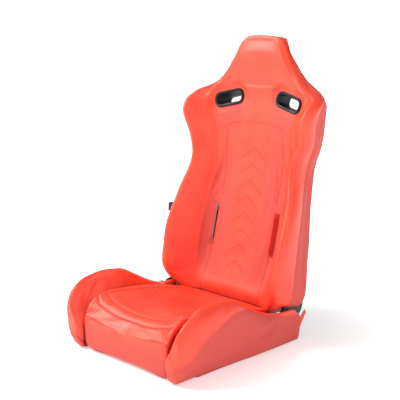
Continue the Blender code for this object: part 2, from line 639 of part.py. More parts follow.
def make_spiral_spring(label, side, centre):
    """Flat strip wound in a spiral, with its outer end hooked outward."""
    low, high = side * (COVER_X + 0.0006), side * (COVER_X + 0.0046)
    rings = []
    for i in range(49):
        turn = 2 * math.pi * 2.75 * i / 48
        radius = 0.0098 + 0.0046 * turn / (2 * math.pi)
        ring = []
        for x, thick in ((low, 0.0), (high, 0.0), (high, 0.0011), (low, 0.0011)):
            y = centre[0] + (radius + thick) * math.cos(turn)
            z = centre[1] + (radius + thick) * math.sin(turn)
            ring.append(Vector((x, y, z)))
        rings.append(ring)
    loft("recliner_spring_" + label, rings, plated("recliner_spring_steel_" + label))


def cover_outline(inset):
    centre = (PIVOT.y, PIVOT.z)
    foot = circle((0.128, 0.076), 0.014 - inset, 16)
    return hull(circle(centre, COVER_RADIUS - inset, 32) + foot)


def make_recliner_cover(label, side, centre):
    """Dished black cover over the spiral spring, open towards the plate."""
    dish_low, dish_high = side * COVER_X, side * (COVER_X + COVER_DEPTH)
    outside = slab("recliner_cover_" + label, cover_outline(0.0), *sorted((dish_low, dish_high)),
                   plastic("recliner_cover_plastic_" + label), None, 0.0015)
    low, high = sorted((side * (COVER_X - 0.01), side * (COVER_X + COVER_DEPTH - 0.0018)))
    cut(outside, slab("cutter_cover_" + label, cover_outline(0.0022), low, high, None))
    low, high = sorted((side * (COVER_X - 0.01), side * (COVER_X + 0.05)))
    cut(outside, cylinder("cutter_cover_hole_" + label, low, high, centre, 0.0078, None))


def make_cover_flaps():
    for label, side in (("left", -1), ("right", 1)):
        outline = [(0.2190, 0.066), (0.2190, 0.034), (0.254, 0.084), (0.250, 0.094), (0.246, 0.094)]
        low, high = sorted((side * 0.2425, side * 0.2455))
        slab("cover_flap_" + label, outline, low, high, leather("flap_leather_" + label))


def make_recline_lever(lever):
    """Shaft, arm and grip, in the lever's own frame on the recline axis."""
    cylinder("recline_cross_shaft", -0.2728, 0.2345, (0.0, 0.0), SHAFT_RADIUS,
             plated("shaft_steel"), lever, 16)
    arm = hull(circle((0.0, 0.0), 0.014) + circle((-0.085, -0.008), 0.008, 12))
    plate = slab("recline_lever_arm", arm, -0.2705, -0.2670, painted("lever_arm_paint"), lever)
    bore(plate, -0.29, -0.25, (0.0, 0.0), 0.0064, lever)
    grip = []
    for i in range(9):
        t = i / 8
        y, z = -0.100 - 0.050 * t, -0.0092 - 0.003 * t
        swell = 0.0062 + 0.0028 * math.sin(math.pi * (0.15 + 0.8 * t))
        if i in (0, 8):
            swell *= 0.6
        grip.append([Vector((-0.2726 + 0.60 * swell * math.cos(a), y, z + swell * math.sin(a)))
                     for a in (2 * math.pi * k / 12 for k in range(12))])
    loft("recline_lever_grip", grip, plastic("lever_grip_plastic"), lever, 60.0)


def main():
    clear_scene()
    back = empty("backrest_axis", PIVOT, -REST_TILT)
    lever = empty("lever_axis", PIVOT)
    make_backrest_foam(back)
    make_back_frame(back)
    make_back_springs(back)
    make_back_panel(back)
    make_harness_bezels(back)
    make_side_tab(back)
    make_upper_recliners(back)
    make_seat_cushion()
    make_seat_bolsters()
    make_rails()
    make_cross_tubes()
    make_seat_springs()
    make_lower_recliners()
    make_cover_flaps()
    make_recline_lever(lever)


main()
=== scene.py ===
import json
import math

import bpy
import bmesh
import numpy as np
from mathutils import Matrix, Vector

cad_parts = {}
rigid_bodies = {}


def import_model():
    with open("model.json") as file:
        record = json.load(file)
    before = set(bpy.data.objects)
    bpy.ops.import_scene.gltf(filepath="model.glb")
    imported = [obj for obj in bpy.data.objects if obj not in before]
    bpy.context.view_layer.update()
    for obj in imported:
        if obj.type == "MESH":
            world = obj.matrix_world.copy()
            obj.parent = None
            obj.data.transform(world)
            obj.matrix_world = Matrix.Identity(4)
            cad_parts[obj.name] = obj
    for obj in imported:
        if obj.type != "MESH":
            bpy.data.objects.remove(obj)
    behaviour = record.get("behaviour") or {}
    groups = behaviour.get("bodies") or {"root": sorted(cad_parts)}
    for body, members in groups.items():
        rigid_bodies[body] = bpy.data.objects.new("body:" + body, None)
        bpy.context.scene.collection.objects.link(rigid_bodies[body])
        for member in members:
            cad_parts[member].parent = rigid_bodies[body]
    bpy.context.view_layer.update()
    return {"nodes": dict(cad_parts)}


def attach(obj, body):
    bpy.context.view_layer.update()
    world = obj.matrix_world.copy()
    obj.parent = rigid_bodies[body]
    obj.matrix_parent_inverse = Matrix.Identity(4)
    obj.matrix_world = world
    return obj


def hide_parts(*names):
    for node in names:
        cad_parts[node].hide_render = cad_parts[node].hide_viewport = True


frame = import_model()
nodes = frame["nodes"]
print("frame loaded:", len(nodes), "nodes")

# where things sit, in metres: x across, -y the front, z up
seat = {
    "hinge": (0.0, 0.1952, 0.118),     # recline axis
    "lean": math.radians(13.5),        # backrest behind upright, at rest
    "shift": -0.0098,                  # the outlines below are drawn this much further back
}
leanSin, leanCos = math.sin(seat["lean"]), math.cos(seat["lean"])


# a shader socket that takes part in sums
class Wire:
    def __init__(self, recipe, socket):
        self.recipe = recipe
        self.socket = socket

    def maths(self, operation, first, second):
        return self.recipe.node("ShaderNodeMath", {"operation": operation}, {0: first, 1: second})

    def __add__(self, other):
        return self.maths("ADD", self, other)

    def __radd__(self, other):
        return self.maths("ADD", other, self)

    def __sub__(self, other):
        return self.maths("SUBTRACT", self, other)

    def __rsub__(self, other):
        return self.maths("SUBTRACT", other, self)

    def __mul__(self, other):
        return self.maths("MULTIPLY", self, other)

    def __rmul__(self, other):
        return self.maths("MULTIPLY", other, self)


# one material and its nodes
class Recipe:
    def __init__(self, name):
        self.material = bpy.data.materials.new(name)
        self.material.use_nodes = True
        self.tree = self.material.node_tree
        self.tree.nodes.clear()

    def node(self, kind, settings=None, inputs=None, output=0):
        made = self.tree.nodes.new(kind)
        for key, value in (settings or {}).items():
            setattr(made, key, value)
        for key, value in (inputs or {}).items():
            if isinstance(value, Wire):
                self.tree.links.new(value.socket, made.inputs[key])
            elif value is not None:
                socket = made.inputs[key]
                wide = hasattr(socket.default_value, "__len__") and len(socket.default_value) == 4
                socket.default_value = (*value, 1.0) if wide and len(value) == 3 else value
        return Wire(self, made.outputs[output])

    def blend(self, amount, low, high):
        kinds = {"data_type": "RGBA", "blend_type": "MIX"}
        return self.node("ShaderNodeMix", kinds, {0: amount, 6: low, 7: high}, 2)

    def place(self, scale=(1.0, 1.0, 1.0)):
        spot = self.node("ShaderNodeTexCoord", output="Object")
        return self.node("ShaderNodeMapping", {}, {"Vector": spot, "Scale": scale})

    def noise(self, scale, detail=3.0, roughness=0.5, where=None):
        return self.node("ShaderNodeTexNoise", {}, {"Vector": where or self.place(), "Scale": scale,
                                                    "Detail": detail, "Roughness": roughness})

    def band(self, value, low, high, start=0.0, end=1.0):
        settings = {"interpolation_type": "SMOOTHSTEP", "clamp": True}
        return self.node("ShaderNodeMapRange", settings, {0: value, 1: low, 2: high, 3: start, 4: end})

    def mask(self, name):
        return self.node("ShaderNodeAttribute", {"attribute_name": name}, {}, "Fac")

    def bump(self, height, strength, distance, under=None):
        return self.node("ShaderNodeBump", {}, {"Height": height, "Strength": strength,
                                                "Distance": distance, "Normal": under})

    def finish(self, **sockets):
        names = {key.replace("_", " "): value for key, value in sockets.items()}
        shader = self.node("ShaderNodeBsdfPrincipled", {}, names)
        out = self.tree.nodes.new("ShaderNodeOutputMaterial")
        self.tree.links.new(shader.socket, out.inputs["Surface"])
        return self.material


leatherLook = {
    "shine": (0.85, 0.046, 0.018),     # base colour of the smooth leather
    "soft": (0.89, 0.088, 0.038),      # where it is stretched thin over the padding
    "panel": (0.94, 0.250, 0.155),     # pressed panel of the backrest, coloured lighter as a painted highlight
    "matte": (0.60, 0.062, 0.044),     # side panels of plain fabric-backed leather
    "deep": (0.30, 0.006, 0.008),      # painted shade in seams, creases and the gaps between pieces
    "grain": 620.0,
    "wear": 9.0,
}


def makeLeather(name, look):
    mix = Recipe(name)
    matte = mix.mask("matte")
    seamShade = mix.mask("seamShade")
    panel = mix.mask("panel")
    cloud = mix.noise(look["wear"], 3.0, 0.55)
    smooth = mix.blend(mix.band(cloud, 0.35, 0.70, 0.0, 0.5), look["shine"], look["soft"])
    # painted highlight: the pressed panel is given a lighter colour
    smooth = mix.blend(panel, smooth, look["panel"])
    colour = mix.blend(matte, smooth, look["matte"])
    # painted shade in seams, creases and the gaps between pieces, from each cover's mask
    colour = mix.blend(mix.band(seamShade, 0.05, 1.0, 0.0, 0.92), colour, look["deep"])
    cells = mix.node("ShaderNodeTexVoronoi", {"feature": "DISTANCE_TO_EDGE"},
                     {"Vector": mix.place(), "Scale": look["grain"]})
    pores = mix.band(cells, 0.0, 0.18)
    fine = mix.noise(look["grain"] * 1.7, 2.0)
    creased = mix.noise(38.0, 4.0, 0.6, mix.place((1.0, 1.0, 0.55)))
    grain = mix.bump(pores + fine * 0.5, 0.14, 0.0006)
    rolled = mix.bump(creased, 0.10, 0.004, grain)
    gloss = mix.band(cloud, 0.3, 0.7, 0.42, 0.50) + matte * 0.22 + seamShade * 0.20
    return mix.finish(Base_Color=colour, Roughness=gloss, Normal=rolled, Specular_IOR_Level=0.50,
                      Coat_Weight=(1 - matte) * 0.08, Coat_Roughness=0.30)


def makeHard(name, base, roughness, metallic, grain, depth, tint=None, spread=0.35, gleam=0.5):
    mix = Recipe(name)
    cloud = mix.noise(14.0, 4.0, 0.6)
    speck = mix.noise(grain, 2.0, 0.5)
    tint = tint or tuple(min(1.0, part * 1.5 + 0.01) for part in base)
    colour = mix.blend(mix.band(cloud, 0.35, 0.75, 0.0, 0.6), base, tint)
    gloss = mix.band(cloud, 0.3, 0.75, roughness * (1 - spread), min(1.0, roughness * (1 + spread)))
    relief = mix.bump(speck, depth, 0.0008)
    return mix.finish(Base_Color=colour, Roughness=gloss, Metallic=metallic, Normal=relief,
                      Specular_IOR_Level=gleam)


def makeWebbing(name):
    mix = Recipe(name)
    rows = mix.node("ShaderNodeTexWave", {"wave_type": "BANDS", "bands_direction": "Z"},
                    {"Vector": mix.place(), "Scale": 230.0, "Distortion": 0.6, "Detail": 1.0})
    ends = mix.node("ShaderNodeTexWave", {"wave_type": "BANDS", "bands_direction": "X"},
                    {"Vector": mix.place(), "Scale": 300.0, "Distortion": 0.6, "Detail": 1.0})
    weave = rows * ends
    colour = mix.blend(weave, (0.010, 0.010, 0.011), (0.034, 0.034, 0.036))
    return mix.finish(Base_Color=colour, Roughness=mix.band(weave, 0.0, 1.0, 0.85, 0.62),
                      Normal=mix.bump(weave, 0.5, 0.0006))


def curveOf(points, places):
    # smooth curve through the points that never overshoots them
    at = np.array([p[0] for p in points], float)
    value = np.array([p[1] for p in points], float)
    step = np.diff(value) / np.diff(at)
    slope = np.empty(len(at))
    slope[0], slope[-1] = step[0], step[-1]
    product = step[:-1] * step[1:]
    total = np.where(np.abs(step[:-1] + step[1:]) < 1e-12, 1.0, step[:-1] + step[1:])
    slope[1:-1] = np.where(product <= 0, 0.0, 2 * product / total)
    places = np.clip(np.asarray(places, float), at[0], at[-1])
    index = np.clip(np.searchsorted(at, places, side="right") - 1, 0, len(at) - 2)
    width = at[index + 1] - at[index]
    t = (places - at[index]) / width
    return ((2 * t**3 - 3 * t**2 + 1) * value[index] + (t**3 - 2 * t**2 + t) * width * slope[index]
            + (3 * t**2 - 2 * t**3) * value[index + 1] + (t**3 - t**2) * width * slope[index + 1])


def ramp(value, low, high):
    t = np.clip((value - low) / (high - low), 0.0, 1.0)
    return t * t * (3 - 2 * t)


def closedSpline(points, counts):
    # points: rows x corners x 2, each row a closed outline; counts: how many samples each side gets
    before, after, later = np.roll(points, 1, 1), np.roll(points, -1, 1), np.roll(points, -2, 1)

    def knot(a, b):
        return np.maximum(np.linalg.norm(b - a, axis=2, keepdims=True), 1e-6) ** 0.5

    k0, k1, k2 = knot(before, points), knot(points, after), knot(after, later)
    slopeA = (points - before) / k0 - (after - before) / (k0 + k1) + (after - points) / k1
    slopeB = (after - points) / k1 - (later - points) / (k1 + k2) + (later - after) / k2
    slopeA, slopeB = slopeA * k1, slopeB * k1
    rows = []
    for side, count in enumerate(counts):
        for t in np.arange(count) / count:
            p, q = points[:, side], after[:, side]
            a, b = slopeA[:, side], slopeB[:, side]
            rows.append((2 * t**3 - 3 * t**2 + 1) * p + (t**3 - 2 * t**2 + t) * a
                        + (3 * t**2 - 2 * t**3) * q + (t**3 - t**2) * b)
    return np.stack(rows, axis=1)


def onBack(across, up, forward):
    hinge = seat["hinge"]
    return np.stack([across, hinge[1] + up * leanSin - forward * leanCos,
                     hinge[2] + up * leanCos + forward * leanSin], axis=-1)


def offBack(points):
    # world points as across, up and forward on the backrest
    y, z = points[:, 1] - seat["hinge"][1], points[:, 2] - seat["hinge"][2]
    return points[:, 0], y * leanSin + z * leanCos, -y * leanCos + z * leanSin


def alongSeat(profile, y, side=1):
    # cross-sections of across and up, set one behind another along the seat
    depth = np.repeat(y[:, None], profile.shape[1], 1) + seat["shift"]
    return np.stack([side * profile[..., 0], depth, profile[..., 1]], axis=-1)


def closeEnds(rings, rounding, along, bulge, count=6):
    # adds shrinking rings at both ends: a rounded edge, then a nearly flat end
    rings = list(rings)
    for end in (0, -1):
        ring = rings[end]
        centre = ring.mean(axis=0)
        radial = ring - centre
        reach = np.linalg.norm(radial, axis=1, keepdims=True)
        inner = np.minimum(rounding, reach * 0.9)
        direction = np.array(along) * (-1 if end == 0 else 1)
        extra = []
        for step in range(1, 4):
            angle = math.pi / 2 * step / 3
            extra.append(centre + radial * (1 - inner * (1 - math.cos(angle)) / reach)
                         + direction * rounding * math.sin(angle))
        base = extra[-1] - direction * rounding
        for step in range(1, count + 1):
            share = 1 - step / (count + 0.35)
            lift = bulge * (1 - share**2)
            extra.append(centre + (base - centre) * share + direction * (rounding + lift))
        rings = extra[::-1] + rings if end == 0 else rings + extra
    return np.array(rings)


def finishPiece(name, mesh, work):
    bmesh.ops.recalc_face_normals(work, faces=work.faces)
    work.to_mesh(mesh)
    work.free()
    piece = bpy.data.objects.new(name, mesh)
    bpy.context.scene.collection.objects.link(piece)
    return piece


def skin(name, rings):
    rowCount, columnCount = rings.shape[:2]
    rows = np.arange(rowCount - 1)[:, None] * columnCount
    columns = np.arange(columnCount)[None, :]
    nextColumns = (columns + 1) % columnCount
    faces = np.stack([rows + columns, rows + nextColumns, rows + columnCount + nextColumns,
                      rows + columnCount + columns], axis=-1).reshape(-1, 4).tolist()
    last = (rowCount - 1) * columnCount
    for i in range(columnCount // 2 - 1):
        strip = [i, i + 1, columnCount - 2 - i, columnCount - 1 - i]
        faces.append(strip[::-1])
        faces.append([last + corner for corner in strip])
    mesh = bpy.data.meshes.new(name)
    mesh.from_pydata(rings.reshape(-1, 3).tolist(), [], faces)
    work = bmesh.new()
    work.from_mesh(mesh)
    return finishPiece(name, mesh, work)


def pointsOf(piece, kind="co"):
    flat = np.empty(len(piece.data.vertices) * 3)
    piece.data.vertices.foreach_get(kind, flat)
    return flat.reshape(-1, 3)


def movePoints(piece, points):
    piece.data.vertices.foreach_set("co", np.asarray(points, float).ravel())
    piece.data.update()


def paint(piece, name, values):
    layer = piece.data.attributes.get(name) or piece.data.attributes.new(name, "FLOAT", "POINT")
    layer.data.foreach_set("value", np.asarray(values, np.float32))


def choose(piece):
    for other in bpy.context.scene.objects:
        other.select_set(False)
    piece.select_set(True)
    bpy.context.view_layer.objects.active = piece


def modify(piece, kind, **settings):
    modifier = piece.modifiers.new("change", kind)
    for key, value in settings.items():
        setattr(modifier, key, value)
    choose(piece)
    bpy.ops.object.modifier_apply(modifier=modifier.name)


# how hard the padding pushes and for how long, the lowest a cover may reach, and the band along the
# bottom that is coloured darker
padding = {"pressure": 4.0, "frames": 20, "floor": 0.001, "darkBottom": (0.004, 0.009)}


def swell(piece, hold, cap):
    # the padding pushes its cover out; hold is 1 where the cover is glued down
    scene = bpy.context.scene
    start = pointsOf(piece)
    group = piece.vertex_groups.new(name="held")
    for index in np.nonzero(hold > 0.5)[0].tolist():
        group.add([index], 1.0, "REPLACE")
    cloth = piece.modifiers.new("swell", "CLOTH")
    cloth.settings.use_pressure = True
    cloth.settings.uniform_pressure_force = padding["pressure"]
    cloth.settings.effector_weights.gravity = 0.0
    cloth.settings.vertex_group_mass = "held"
    cloth.collision_settings.use_collision = False
    cloth.point_cache.frame_start = 1
    cloth.point_cache.frame_end = padding["frames"]
    for step in range(1, padding["frames"] + 1):
        scene.frame_set(step)
    shown = piece.evaluated_get(bpy.context.evaluated_depsgraph_get())
    move = (pointsOf(shown) - start) * (1 - hold)[:, None]
    size = np.linalg.norm(move, axis=1, keepdims=True)
    move *= np.minimum(1.0, cap / np.maximum(size, 1e-9))
    piece.modifiers.remove(cloth)
    piece.vertex_groups.clear()
    scene.frame_set(1)
    movePoints(piece, start + move)


def lineDistance(x, y, line):
    best = np.full(len(x), 9.0)
    for (ax, ay), (bx, by) in zip(line, line[1:]):
        dx, dy = bx - ax, by - ay
        t = np.clip(((x - ax) * dx + (y - ay) * dy) / (dx * dx + dy * dy), 0.0, 1.0)
        best = np.minimum(best, np.hypot(x - ax - t * dx, y - ay - t * dy))
    return best


def groove(distance, width):
    return np.exp(-(distance / width) ** 2)


def press(distance, line):
    # how deep a pressed line is and how much painted shade lies in it: depth, half width, half width of
    # its shaded part, darkness of the painted shade
    depth, wide, darkWide, dark = line
    return depth * groove(distance, wide), dark * groove(distance, darkWide)


def crumple(sink, x, y, rows):
    for start, end, wide, deep in rows:
        distance = lineDistance(x, y, (start, end))
        sink = sink + deep * (groove(distance, wide) - 0.45 * groove(distance - 2.1 * wide, wide))
    return sink


def paintAll(cover, seamShade, matte, panel):
    # painted shade in seams, creases and gaps, the matte sides, and the panel's painted highlight
    paint(cover, "seamShade", np.clip(seamShade, 0, 1))
    paint(cover, "matte", matte)
    paint(cover, "panel", panel)


def hullPiece(name, points):
    mesh = bpy.data.meshes.new(name)
    work = bmesh.new()
    for point in points:
        work.verts.new(point)
    bmesh.ops.convex_hull(work, input=work.verts)
    return finishPiece(name, mesh, work)


def cutAway(piece, cutters):
    choose(cutters[0])
    for cutter in cutters:
        cutter.select_set(True)
    if len(cutters) > 1:
        bpy.ops.object.join()
    cutter = cutters[0]
    modify(piece, "BOOLEAN", operation="DIFFERENCE", solver="MANIFOLD", object=cutter)
    bpy.data.objects.remove(cutter)


def shadeSoft(piece, angle):
    choose(piece)
    bpy.ops.object.shade_smooth_by_angle(angle=math.radians(angle))


def dress(piece, material):
    piece.data.materials.clear()
    piece.data.materials.append(material)


leather = makeLeather("coralLeather", leatherLook)


# the backrest: outlines are (up, value) pairs on the backrest, from the hinge
back = {
    "crestHalf": ((-0.038, 0.205), (-0.022, 0.220), (-0.009, 0.235), (-0.001, 0.2460),
                  (0.006, 0.2510), (0.04, 0.259), (0.16, 0.265), (0.30, 0.253), (0.42, 0.229),
                  (0.54, 0.263), (0.62, 0.276), (0.655, 0.267), (0.70, 0.184), (0.745, 0.138),
                  (0.79, 0.109), (0.832, 0.088), (0.85, 0.070)),
    "crestForward": ((-0.038, 0.074), (-0.02, 0.094), (0.0, 0.116), (0.04, 0.143), (0.16, 0.154),
                     (0.30, 0.132), (0.42, 0.117), (0.50, 0.122), (0.58, 0.155), (0.62, 0.142),
                     (0.655, 0.107), (0.70, 0.088), (0.79, 0.109), (0.832, 0.108), (0.85, 0.095)),
    "rearHalf": ((-0.038, 0.180), (-0.02, 0.200), (-0.009, 0.233), (-0.001, 0.2450),
                 (0.006, 0.2490), (0.05, 0.249), (0.10, 0.243), (0.17, 0.232), (0.33, 0.210),
                 (0.45, 0.202), (0.56, 0.234), (0.64, 0.240), (0.68, 0.218), (0.714, 0.163),
                 (0.745, 0.132), (0.80, 0.098), (0.85, 0.062)),
    # the wall of the pocket behind, which meets the rear panel
    "wallHalf": ((-0.038, 0.160), (-0.004, 0.170), (0.0, 0.232), (0.05, 0.230), (0.17, 0.222),
                 (0.33, 0.200), (0.45, 0.192), (0.56, 0.224), (0.64, 0.230), (0.68, 0.208),
                 (0.714, 0.153), (0.745, 0.122), (0.80, 0.088), (0.85, 0.052)),
    "rearForward": ((-0.038, -0.012), (0.0, -0.020), (0.03, -0.034), (0.48, -0.032),
                    (0.56, -0.006), (0.64, 0.010), (0.69, 0.012), (0.745, 0.026), (0.80, 0.050),
                    (0.85, 0.066)),
    "centreForward": ((-0.038, 0.048), (0.0, 0.063), (0.06, 0.055), (0.12, 0.047), (0.46, 0.045),
                      (0.53, 0.053), (0.565, 0.059), (0.60, 0.0615), (0.635, 0.064),
                      (0.67, 0.070), (0.711, 0.0900), (0.755, 0.107), (0.80, 0.119),
                      (0.835, 0.114), (0.85, 0.096)),
    "pocket": ((0.0, 0.002), (0.43, 0.002), (0.56, 0.026)),
    "pocketTop": 0.60,
    "panelHalf": 0.150,
    "valley": 0.008,
    "swell": 0.004,
    # columns between the corners of half a cross-section, middle of the front to middle of the back
    "columns": (15, 14, 5, 5, 5, 3, 3, 6, 6, 2, 2, 3, 4, 4),
    "harness": {"across": 0.128, "up": 0.641, "half": (0.049, 0.0175), "slope": -15.0, "corner": 0.013},
    "face": (0.0615, 0.12, 0.075),
    "sideUp": (0.136, 0.280),
    "sideFront": (0.122, 0.145),
    "sideRear": (0.132, 0.166),
    "slotShape": ((0.0, 0.34), (0.03, 0.66), (0.09, 0.90), (0.20, 1.0), (0.80, 1.0), (0.91, 0.90),
                  (0.97, 0.66), (1.0, 0.34)),
    "arch": ((0.134, 0.285), (0.147, 0.33), (0.155, 0.40), (0.156, 0.46), (0.152, 0.503),
             (0.141, 0.530), (0.120, 0.549), (0.090, 0.560), (0.050, 0.566), (0.0, 0.568)),
    "panelStep": (0.0060, 0.0025),     # depth, and half the width of its edge
    # pressed lines: depth, half width, half width of the painted shade, how dark that painted shade is
    "archLine": (0.0022, 0.0045, 0.0036, 0.16, 0.34),     # the last is more painted shade, added along the top of the arch
    "chevrons": tuple(0.483 - 0.055 * i for i in range(8)),
    "chevronArm": (0.056, 0.042),
    "arrowLine": (0.0098, 0.0066, 0.0046, 0.62),
    "arrowRidge": (0.0030, 0.0065),
    "sewn": ((((0.0, 0.075), (0.0, 0.53)), (0.0009, 0.0025, 0.0018, 0.25)),
             (((0.120, 0.538), (0.124, 0.42), (0.121, 0.31)), (0.0016, 0.0030, 0.0020, 0.75)),
             (((0.128, 0.134), (0.127, 0.07), (0.131, -0.03)), (0.0040, 0.0030, 0.0020, 0.75))),
    "hexagonUp": 0.768,
    "hexagons": ((0.037, (0.0022, 0.0028, 0.0022, 0.20)), (0.024, (0.0013, 0.0028, 0.0022, 0.20))),
    "slotLine": (0.0085, 0.0085, 0.004, 0.55),
    "gussetLine": (0.0030, 0.0045, 0.0030, 0.30),
    "tunnelRoom": 0.0032,
    # room kept free inside the cover for the hinges, the side plates and the cross shaft
    "rooms": {"radius": 0.046, "foot": ((0.082, -0.026), (0.082, -0.060)),
              "plate": ((0.008, 0.165), (-0.040, 0.165)), "inside": 0.196, "rimOut": 0.2392,
              "plateOut": 0.2225, "shaft": 0.010},
}


def backCorners(up):
    crest, crestW = curveOf(back["crestHalf"], up), curveOf(back["crestForward"], up)
    rear, rearW = curveOf(back["rearHalf"], up), curveOf(back["rearForward"], up)
    centre = curveOf(back["centreForward"], up)
    inner = np.minimum(back["panelHalf"], 0.62 * crest)
    pocket = np.where(up < back["pocketTop"], curveOf(back["pocket"], up), rearW + 0.004)
    sunk = back["valley"] * (1 - ramp(up, 0.40, 0.52)) * ramp(up, 0.0, 0.14)
    reach, rise, middle = crest - inner, crestW - centre, 0.5 * (crestW + rearW)
    wall = curveOf(back["wallHalf"], up)
    bowl = ramp(up, 0.38, 0.58)
    puff = ramp(up, -0.008, 0.035)

    def height(x, flat):
        # above the panel the middle runs out to the shoulders in one soft bowl
        return flat + (centre + rise * (x / (crest - 0.014)) ** 3.0 - flat) * bowl

    half = [(0 * up, centre), (0.5 * inner, height(0.5 * inner, centre - 0.25 * sunk)),
            (inner, height(inner, centre - sunk))]
    for share, flat in ((0.30, 0.40), (0.62, 0.83)):
        half.append((inner + share * reach, height(inner + share * reach, centre + flat * rise)))
    half += [(crest - 0.014, crestW), (crest, crestW - 0.010), (crest + 0.006 * puff, crestW - 0.032),
             (0.5 * (crest + rear) + 0.012 * puff, middle), (rear + 0.006 * puff, rearW + 0.018),
             (rear, rearW), (wall, rearW), (wall, pocket), (0.5 * wall, pocket), (0 * up, pocket)]
    half = [np.stack(pair, axis=-1) for pair in half]
    mirrored = [corner * np.array((-1.0, 1.0)) for corner in half[-2:0:-1]]
    return np.stack(half + mirrored, axis=1)


def harnessDistance(x, up, side):
    slot = back["harness"]
    slope = math.radians(slot["slope"])
    a, b = side * x - slot["across"], up - slot["up"]
    along = np.abs(a * math.cos(slope) + b * math.sin(slope)) - slot["half"][0] + slot["corner"]
    away = np.abs(-a * math.sin(slope) + b * math.cos(slope)) - slot["half"][1] + slot["corner"]
    outside = np.hypot(np.maximum(along, 0), np.maximum(away, 0))
    return outside + np.minimum(np.maximum(along, away), 0) - slot["corner"]


def harnessPoints(side, margin, forward):
    slot = back["harness"]
    slope = math.radians(slot["slope"])
    radius = slot["corner"] + margin
    points = []
    for step in range(48):
        angle = math.tau * (step + 0.5) / 48
        a = math.copysign(slot["half"][0] + margin - radius, math.cos(angle)) + radius * math.cos(angle)
        b = math.copysign(slot["half"][1] + margin - radius, math.sin(angle)) + radius * math.sin(angle)
        x = slot["across"] + a * math.cos(slope) - b * math.sin(slope)
        up = slot["up"] + a * math.sin(slope) + b * math.cos(slope)
        points.append(onBack(side * x, up, forward))
    return points


def boxDistance(x, up, wide, tall):
    a = np.abs(x - 0.5 * (wide[0] + wide[1])) - 0.5 * (wide[1] - wide[0])
    b = np.abs(up - 0.5 * (tall[0] + tall[1])) - 0.5 * (tall[1] - tall[0])
    return np.hypot(np.maximum(a, 0), np.maximum(b, 0)) + np.minimum(np.maximum(a, b), 0)


def roundPoints(radius, count=32):
    return [(radius * math.cos(math.tau * i / count), radius * math.sin(math.tau * i / count))
            for i in range(count)]


def acrossPiece(name, outline, low, high):
    # convex outline of (forward, up) points on the backrest, from low to high across
    return hullPiece(name, [onBack(x, up, forward) for x in (low, high) for forward, up in outline])


def makeBackCover():
    fine, coarse = np.arange(0.085, 0.575, 0.0042), 0.0082
    up = np.concatenate([[-0.030, -0.023, -0.016, -0.010, -0.004], np.arange(0.0, 0.082, coarse), fine,
                         np.arange(0.580, 0.841, 0.0056), [0.842]])
    counts = list(back["columns"]) + list(back["columns"])[::-1]
    profile = closedSpline(backCorners(up), counts)
    rings = onBack(profile[..., 0], np.repeat(up[:, None], profile.shape[1], 1), profile[..., 1])
    alongUp = (0.0, leanSin, leanCos)
    rings = closeEnds(rings, 0.008, alongUp, 0.003)
    cover = skin("backrestCover", rings)
    modify(cover, "SMOOTH", iterations=6)
    x, v, w = offBack(pointsOf(cover))
    rearW = curveOf(back["rearForward"], v)
    behind = 1 - ramp(w - rearW, 0.020, 0.050)
    nearSlot = np.minimum(np.minimum(harnessDistance(x, v, 1), harnessDistance(x, v, -1)),
                          boxDistance(np.abs(x), v, back["sideFront"], back["sideUp"]))
    hold = np.maximum(behind, 1 - ramp(nearSlot, 0.008, 0.030))
    hold = np.maximum(hold, 1 - ramp(v, 0.0, 0.03))
    swell(cover, hold, back["swell"])
    modify(cover, "SUBSURF", levels=1)
    return cover


